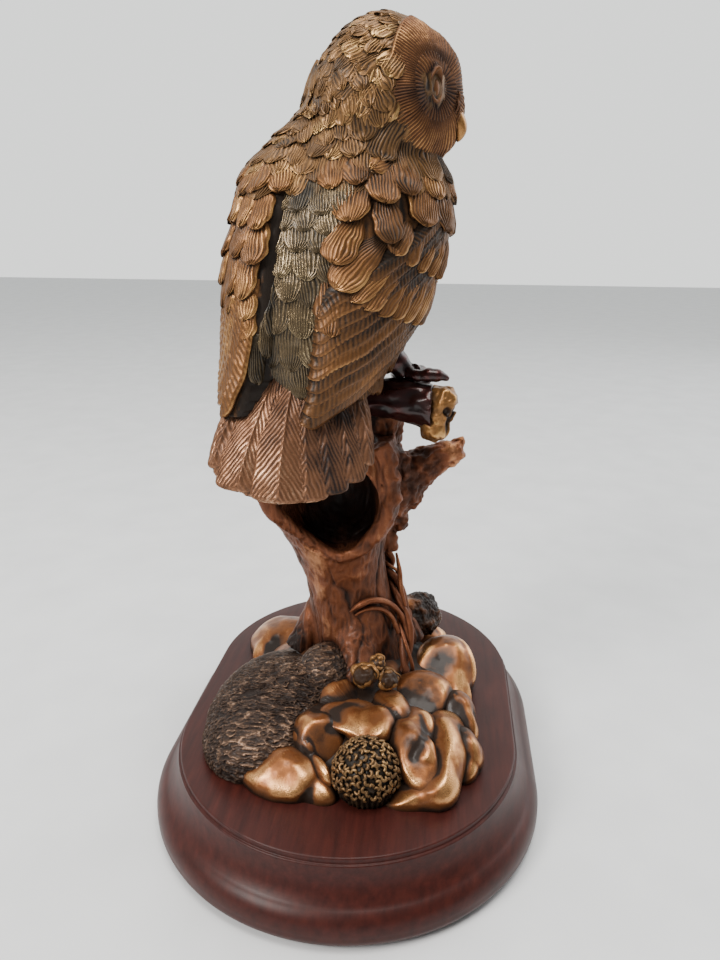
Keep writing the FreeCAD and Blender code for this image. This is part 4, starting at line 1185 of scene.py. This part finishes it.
def make_rocks():
    """The stones round the stump, each of one or more lumps, and the bed they stand on."""
    lumps = {
        # middle, eggs (centre, half sizes, turn), flats (azimuth, rise, distance)
        "near_left": ((-46, 15, 24), [((-45.6, 15.5, 24.0), (9.2, 13.2, 7.4), -16),
                                      ((-49.6, 5.5, 22.6), (4.4, 7.0, 4.2), -28)],
                      [(172, 44, 7.2), (120, 60, 7.4)]),
        "leaning": ((-42.5, 8.5, 28), [((-39.5, 11.2, 29.4), (6, 2.7, 4.6), 43),
                                       ((-46.4, 5.0, 26.4), (6.6, 2.2, 4.2), 43)], []),
        "centre": ((-33, 6, 29), [((-35.5, 7.0, 28.4), (9.4, 8.2, 9.6), 25), ((-26, 3, 30), (9, 11, 8.4), 0)],
                   [(196, 32, 8.6), (20, 80, 8.0)]),
        "lip": ((-31, -6, 34), [((-32.5, -4.0, 35.2), (7.0, 11.5, 4.4), -6),
                                ((-37.0, -8.5, 33.0), (5.0, 6.0, 5.4), 0),
                                ((-19.5, 4.5, 32.5), (9.0, 8.5, 7.2), 0),
                                ((-25, -14, 33.6), (8.6, 5.6, 5.0), 35)], [(160, 72, 4.4)]),
        "lobe": ((-38.5, -21, 27.5), [((-39, -20.6, 27.5), (13.0, 6.8, 9.6), 28),
                                      ((-30, -21, 28.5), (10, 8.5, 7.8), 10)], [(185, 52, 8.2)]),
        "crest": ((-38, -28, 26), [((-33, -29.5, 27), (16, 7.6, 8.2), -2),
                                   ((-45, -27.5, 25), (8.6, 7.4, 7.2), 20),
                                   ((-49, -20.5, 23), (4.6, 9.0, 4.6), 0)], [(120, 62, 6.0)]),
        "right_back": ((-17, -33, 27), [((-17.0, -34.0, 27), (7.8, 5.8, 8.6), 15),
                                        ((-22, -36.0, 26), (5.0, 4.2, 6.4), 40)], [(170, 40, 6.4)]),
        "right_front": ((-32, -36, 26), [((-31.5, -36, 25.5), (7.6, 5.2, 7.2), 22),
                                         ((-37.5, -35, 24), (4.6, 4.2, 5.0), 40)], [(165, 42, 5.8)]),
        "middle_right": ((-14, -22, 31), [((-13.5, -22.5, 31.5), (10.6, 10.2, 6.8), -15)],
                         [(186, 64, 5.4)]),
        "far_right": ((8, -30, 27), [((7, -29.5, 27.5), (17.0, 11.0, 11.4), -10),
                                     ((-5, -32, 26), (8, 7.5, 8.2), 0)],
                      [(230, 40, 10.4), (188, 52, 9.6)]),
        "far_left": ((26, 28, 25), [((27, 29, 23.5), (13.5, 14.5, 8.0), 20),
                                    ((17, 34, 23.5), (8, 6, 5.6), 0)], [(180, 62, 6.4)]),
        "back": ((36.5, 4, 26), [((36.5, 4, 26.5), (10.5, 15.5, 9.0), -8)],
                 [(10, 35, 9.0), (340, 20, 9.6)]),
        "back_right": ((30.5, -19, 26), [((30.5, -19, 26), (11.5, 11.5, 8.0), 30)], [(320, 40, 8.2)]),
        "cone": ((-46.5, -8.5, 28), [((-46.5, -8.5, 28), (9.0, 8.8, 9.0), 0)], []),
    }
    lumps = {name: Lump(middle, eggs, flats, soft=0.9) for name, (middle, eggs, flats) in lumps.items()}
    every = list(lumps.values())

    def rock(name, stands_for, parts, rough, seed, rub, **style):
        build = Build()
        for k, part in enumerate(parts):
            add_lump(build, lumps[part], every, rough, seed + k, rub, **style)
        build.piece(name, STONE, "copper_stone", stands_for)

    rock("near_left_rock", ["near_left_boulder"], ["near_left"], 0.35, 3, 0.66, grain=6.0)
    rock("leaning_rock", (), ["leaning"], 0.25, 5, 0.60)
    rock("centre_rock", ["centre_boulder"], ["centre", "lip"], 0.55, 8, 0.50, grain=6.0, rows=130, cols=260,
         folds=[([(-24, 9, 38), (-28, 2, 40), (-30, -5, 40), (-24, -13, 38.5)], 2.6, -1.3)])
    rock("clam_rock", ["near_right_boulder"], ["lobe", "crest"], 0.5, 12, 0.50, grain=6.0, rows=130, cols=260,
         folds=[([(-30, -23, 36.5), (-37, -24.5, 36), (-45, -21.5, 33)], 1.5, -0.5),
                ([(-28, -24, 35), (-36, -27, 35), (-44, -25, 32)], 1.4, 0.6)])
    rock("right_rock", ["right_boulder"], ["right_back", "right_front"], 0.45, 15, 0.50)
    rock("middle_right_rock", ["middle_right_boulder"], ["middle_right"], 0.4, 18, 0.42)
    rock("far_right_rock", ["far_right_boulder"], ["far_right"], 0.6, 21, 0.55, grain=7.0,
         folds=[([(2, -29, 38), (-3, -34, 36), (-5, -39, 30), (-6, -40, 24)], 1.2, -0.8),
                ([(14, -36, 37), (8, -39.5, 34), (2, -41, 27)], 1.5, 0.8)])
    rock("far_left_rock", ["far_left_boulder"], ["far_left"], 1.0, 24, 0.42, grain=7.0)
    rock("back_rock", ["back_boulder"], ["back"], 0.6, 27, 0.5)
    rock("back_right_rock", ["back_right_boulder"], ["back_right"], 0.6, 30, 0.5)

    bed = Build()
    dome = Lump((-3, 1, 24), [((-3, 1, 21.5), (44, 35, 16.5), 0), ((5, 4, 34), (17, 17, 7), 0),
                              ((-24, -16, 22), (26, 24, 10), 0)], soft=1.5)
    add_lump(bed, dome, every, 0.8, 40, 0.10, grain=6.0, rows=150, cols=300)
    bed.piece("ground_bed", STONE, "copper_stone", ["ground_casting"])


def make_moss():
    """The mound of long moss on the owl's tail side, combed level."""
    mound = Lump((-17, 21, 26), [((-19, 23.5, 24.5), (30.5, 21.0, 14.2), -3),
                                 ((-12, 8, 36), (11.0, 9.5, 9.6), 0), ((-18, 16, 32.5), (13, 11, 9.0), 0),
                                 ((-34, 27, 25), (14, 14, 9.5), 0)], soft=1.6)
    way, p = mound.grid(260, 560, low=-0.20, denser=150)
    hair = ridged(p, 0.62, (1, 0.10, 1), 71, warp=0.55)
    curl = ridged(p, 0.45, (1, 0.2, 1), 81, warp=0.5)
    tuft = rough_noise(p, 6.0, 2, 91)
    p = p + way * (0.75 * hair ** 2 + 0.30 * curl ** 2 + 0.30 * tuft - 0.6)[..., None]
    shade = -0.14 + 0.85 * hair ** 4 + 0.24 * curl ** 2 + 0.12 * tuft
    p[..., 2] = np.maximum(p[..., 2], CUT_OFF)
    build = Build()
    build.add_tube(p, shade)
    build.piece("combed_moss", MOSS, "dark_moss", ["moss_mound"])


def make_rear_lump():
    """The dark crumbly lump behind the seed head, with one bright chip."""
    low, high = box_mm("rear_cone")
    middle = (low + high) / 2 + vec(-1, 0.3, 2.2)
    lump = Lump(middle, [(middle, (8.0, 7.6, 8.6), 0), (middle + vec(-4, 2, 1), (5, 5, 6), 0)])
    way, p = lump.grid(130, 220, low=-0.6)
    crumbs = rough_noise(p, 2.2, 3, 111)
    chip = np.exp(-(np.linalg.norm(p - middle - vec(-4, 4.5, 6.5), axis=-1) / 3.4) ** 2)
    p = p + way * (0.9 * crumbs * (1 - chip) + 0.8 * chip)[..., None]
    p[..., 2] = np.maximum(p[..., 2], CUT_OFF)
    build = Build()
    build.add_tube(p, 0.02 + 0.18 * crumbs + 0.75 * chip, tone=0.45)
    build.piece("rear_seed_head", STONE, "dark_moss", ["rear_cone"])


def make_seed_head():
    """A dome of small curled scales over a dark fluted base."""
    scale_size, gap = 0.66, 1.62
    low, high = box_mm("pine_cone")
    middle, half = (low + high) / 2, (high - low) / 2
    middle[2] = 27.5
    dome = Lump(middle, [(middle, (half[0] * 0.95, half[1] * 0.95, high[2] - middle[2] - 0.4), 0)])
    way, p = dome.grid(90, 240, low=-0.6)
    flute = np.cos(np.arctan2(way[..., 1], way[..., 0]) * 36)
    p = p + way * (0.28 * flute * smooth((0.3 - way[..., 2]) / 0.4) + 0.3 * noise(p, 1.2, 5))[..., None]
    p[..., 2] = np.maximum(p[..., 2], CUT_OFF)
    build = Build()
    build.add_tube(p, 0.06, tone=0.4)
    radius = float(np.mean(half)) * 0.97
    count = int(ROUND * radius ** 2 * 1.12 / gap ** 2)
    for k in range(count):
        rise = 1 - (k + 0.5) / count * 1.12
        angle = k * SPIRAL_STEP
        flat = math.sqrt(max(0.0, 1 - rise * rise))
        way = vec(flat * math.cos(angle), flat * math.sin(angle), rise)
        seat = middle + way * float(dome.reach(way))
        if seat[2] < GROUND_TOP + 1.0:
            continue
        side = unit(np.cross(vec(0.1, 0.2, 1), way))
        up = np.cross(way, side)
        spin = RANDOM.uniform(0, ROUND)
        span = RANDOM.uniform(3.2, 4.6)
        a = np.linspace(0, span, 12) + spin
        big = scale_size * RANDOM.uniform(0.8, 1.15)
        curl = seat + big * (np.cos(a)[:, None] * side + np.sin(a)[:, None] * up * 1.1)
        curl = curl + way * (0.25 + 0.45 * np.sin(np.linspace(0.4, 2.7, 12)))[:, None]
        fat = 0.46 * scale_size / 0.62 * np.sin(np.linspace(0.35, 2.8, 12)) ** 0.5
        build.add_tube(tube(np.column_stack([curl, fat]), 16, 8), RANDOM.uniform(0.35, 0.65), tone=0.55)
    build.piece("front_seed_head", GILT_MOSS, "dark_moss", ["pine_cone"])


def make_cups():
    """Curled fungi at the stump's foot: a wavy rim with the frill turned inwards."""
    build = Build()
    # middle, size, lean
    cups = [((-22.0, -5.0, 43.0), 4.0, 12), ((-21.0, -12.6, 41.6), 3.4, -14), ((-19.0, -8.8, 45.8), 2.5, 4)]
    for seed, (place, size, lean) in enumerate(cups):
        ahead = unit(vec(-0.72, 0, 0.70) + heading(90) * math.sin(math.radians(lean)))
        side = unit(np.cross(vec(0, 0, 1), ahead))
        up = np.cross(ahead, side)
        pad = Lump(place, [(place - 0.9 * ahead, vec(1, 1, 0.8) * size * 0.9, 0)])
        way, p = pad.grid(40, 60, low=-1.5)
        build.add_tube(p + way * (0.3 * noise(p, 1.2, seed))[..., None], 0.08, tone=0.4)
        turns = np.linspace(0, ROUND * (2.3 + 0.2 * seed), 90)
        shrink = 1 - 0.9 * turns / turns[-1]
        wave = 1 + 0.10 * np.sin(3 * turns + 2 * seed) + 0.06 * np.sin(7 * turns + seed)
        reach = size * shrink * wave
        rise = 0.5 * size * (0.35 * np.sin(2.5 * turns + seed) - 0.3 + 0.25 * (1 - shrink))
        middle = (place + (reach * np.cos(turns))[:, None] * side + (reach * np.sin(turns))[:, None] * up
                  + rise[:, None] * ahead)
        fat = size * (0.25 + 0.06 * np.sin(5 * turns + seed)) * smooth(np.linspace(0, 1, 90) * 8 + 0.2)
        build.add_tube(tube(np.column_stack([middle, fat]), 180, 16, wobble=0.10, seed=seed), 0.34)
    build.piece("curled_fungi", GILT, "gilt", ["cup_fungi"])


# ---------------------------------------------------------------- plinth
def make_plinth():
    """The moulding's profile, from the foot to the middle of the top, swept round the oval."""
    low, high = box_mm("plinth")
    half, top, foot = high[1], high[2], low[2]
    straight = high[0] - half
    lip = half - 8.1                  # half the top board's width
    widest = foot + 3.6
    profile = [(half - 2.2, foot)]

    def arc(a, through, b, count):
        """Adds points along the circle through three points, after the first."""
        (ax, ay), (bx, by), (cx, cy) = a, through, b
        d = 2 * (ax * (by - cy) + bx * (cy - ay) + cx * (ay - by))
        aa, bb, cc = ax * ax + ay * ay, bx * bx + by * by, cx * cx + cy * cy
        ux = (aa * (by - cy) + bb * (cy - ay) + cc * (ay - by)) / d
        uy = (aa * (cx - bx) + bb * (ax - cx) + cc * (bx - ax)) / d
        r = math.hypot(ax - ux, ay - uy)
        start, mid, end = (math.atan2(y - uy, x - ux) for x, y in (a, through, b))
        span = (end - start) % ROUND
        if (mid - start) % ROUND > span:
            span -= ROUND
        for k in range(1, count + 1):
            g = start + span * k / count
            profile.append((ux + r * math.cos(g), uy + r * math.sin(g)))

    arc((half - 2.2, foot), (half - 0.45, foot + 1.3), (half, widest), 8)
    arc((half, widest), (half - 0.8, widest + 3.6), (half - 3.4, widest + 6.2), 14)
    arc((half - 3.4, widest + 6.2), (lip + 1.6, widest + 10.8), (lip + 0.7, top - 1.7), 18)
    profile += [(lip + 0.35, top - 1.78), (lip + 0.1, top - 1.7), (lip, top - 1.5), (lip, top - 0.55)]
    arc((lip, top - 0.55), (lip - 0.16, top - 0.16), (lip - 0.55, top), 5)
    profile += [(lip - inset, top) for inset in (6, 14, 26, 40)]
    steps = 96
    around = []
    for end in (1, -1):
        for k in range(steps + 1):
            a = math.pi * k / steps - end * math.pi / 2
            around.append((end * straight, math.cos(a), math.sin(a)))
    rings = np.array([[(x + r * c, r * s, z) for x, c, s in around] for r, z in profile])
    build = Build()
    build.add_tube(rings + 0.05 * noise(rings, 14.0, 3)[..., None] * vec(1, 1, 0.3))
    build.piece("moulded_plinth", WOOD, "mahogany", ["plinth"])


# ---------------------------------------------------------------- camera, floor and light
CAMERA_PLACE = (-0.2145, -0.0253, 0.1692)
CAMERA_TURNS = (6.543, 18.139, 0.506)    # degrees to the left of +X, down, and rolled
CAMERA_LENS = 27.37                      # for a frame 36 high
LAMP_AIM = vec(0, 0, 0.12)               # the figurine's middle


def make_stage():
    """The photo's camera, a pale floor, a room bright on its far side, and three lamps."""
    scene = bpy.context.scene
    camera = bpy.data.objects.new("camera", bpy.data.cameras.new("camera"))
    scene.collection.objects.link(camera)
    yaw, pitch, roll = (math.radians(angle) for angle in CAMERA_TURNS)
    ahead = vec(math.cos(yaw) * math.cos(pitch), math.sin(yaw) * math.cos(pitch), -math.sin(pitch))
    right = vec(math.sin(yaw), -math.cos(yaw), 0)
    up = np.cross(right, ahead)
    right, up = (math.cos(roll) * right + math.sin(roll) * up, math.cos(roll) * up - math.sin(roll) * right)
    turn = Matrix(np.array([right, up, -ahead]).T.tolist()).to_4x4()
    camera.matrix_world = Matrix.Translation(CAMERA_PLACE) @ turn
    camera.data.sensor_fit = "VERTICAL"
    camera.data.sensor_height = 36.0
    camera.data.lens = CAMERA_LENS
    camera.data.clip_start = 0.01
    scene.camera = camera

    shader = Shader("pale_floor")
    speckle = shader.noise(30.0, 2.0)
    pale = shader.ramp(speckle, [(0.3, (0.70, 0.71, 0.72)), (0.7, (0.76, 0.77, 0.78))])
    mesh = bpy.data.meshes.new("floor")
    mesh.from_pydata([(-3, -3, 0), (3, -3, 0), (3, 3, 0), (-3, 3, 0)], [], [(0, 1, 2, 3)])
    mesh.materials.append(shader.surface(Base_Color=pale, Roughness=0.6))
    plane = bpy.data.objects.new("floor", mesh)
    scene.collection.objects.link(plane)

    world = bpy.data.worlds.new("studio")
    world.use_nodes = True
    tree = world.node_tree
    way = tree.nodes.new("ShaderNodeTexCoord")
    split = tree.nodes.new("ShaderNodeSeparateXYZ")
    tree.links.new(way.outputs["Generated"], split.inputs[0])
    walls = tree.nodes.new("ShaderNodeValToRGB")
    walls.color_ramp.elements[0].position = 0.30
    walls.color_ramp.elements[0].color = (0.17, 0.17, 0.175, 1)
    walls.color_ramp.elements[1].position = 0.72
    walls.color_ramp.elements[1].color = (1.45, 1.48, 1.45, 1)
    shift = tree.nodes.new("ShaderNodeMath")
    shift.operation = "MULTIPLY_ADD"
    shift.inputs[1].default_value = 0.5
    shift.inputs[2].default_value = 0.5
    tree.links.new(split.outputs["X"], shift.inputs[0])
    tree.links.new(shift.outputs[0], walls.inputs["Fac"])
    tree.links.new(walls.outputs["Color"], tree.nodes["Background"].inputs["Color"])
    tree.nodes["Background"].inputs["Strength"].default_value = 1.0
    scene.world = world

    def area(name, place, size, power, colour):
        """A square lamp that looks at the figurine's middle."""
        light = bpy.data.lights.new(name, "AREA")
        light.size = size
        light.energy = power
        light.color = colour
        obj = bpy.data.objects.new(name, light)
        z = unit(vec(*place) - LAMP_AIM)
        x = unit(np.cross(vec(0, 0, 1), z))
        y = np.cross(z, x)
        obj.matrix_world = Matrix.Translation(place) @ Matrix(np.array([x, y, z]).T.tolist()).to_4x4()
        scene.collection.objects.link(obj)

    area("window", (-0.65, 0.60, 0.75), 0.42, 14.0, (1.0, 0.97, 0.93))
    area("ceiling", (-0.20, -0.10, 1.10), 0.50, 9.0, (1.0, 0.97, 0.92))
    area("fill", (0.55, -0.75, 0.55), 0.60, 3.0, (0.94, 0.96, 1.0))


make_stage()
make_plinth()
make_body()
make_head()
make_face()
make_right_wing()
make_left_wing()
make_tail()
make_stump()
make_perch()
make_feet()
make_ivy()
make_moss()
make_rocks()
make_seed_head()
make_rear_lump()
make_cups()

for name, finish in (("baize_pad", FELT), ("fixing_screws", STEEL), ("screw_washers", STEEL),
                     ("stump_rod", STEEL), ("perch_pins", STEEL)):
    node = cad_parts[name]
    node.data.materials.clear()
    node.data.materials.append(finish)
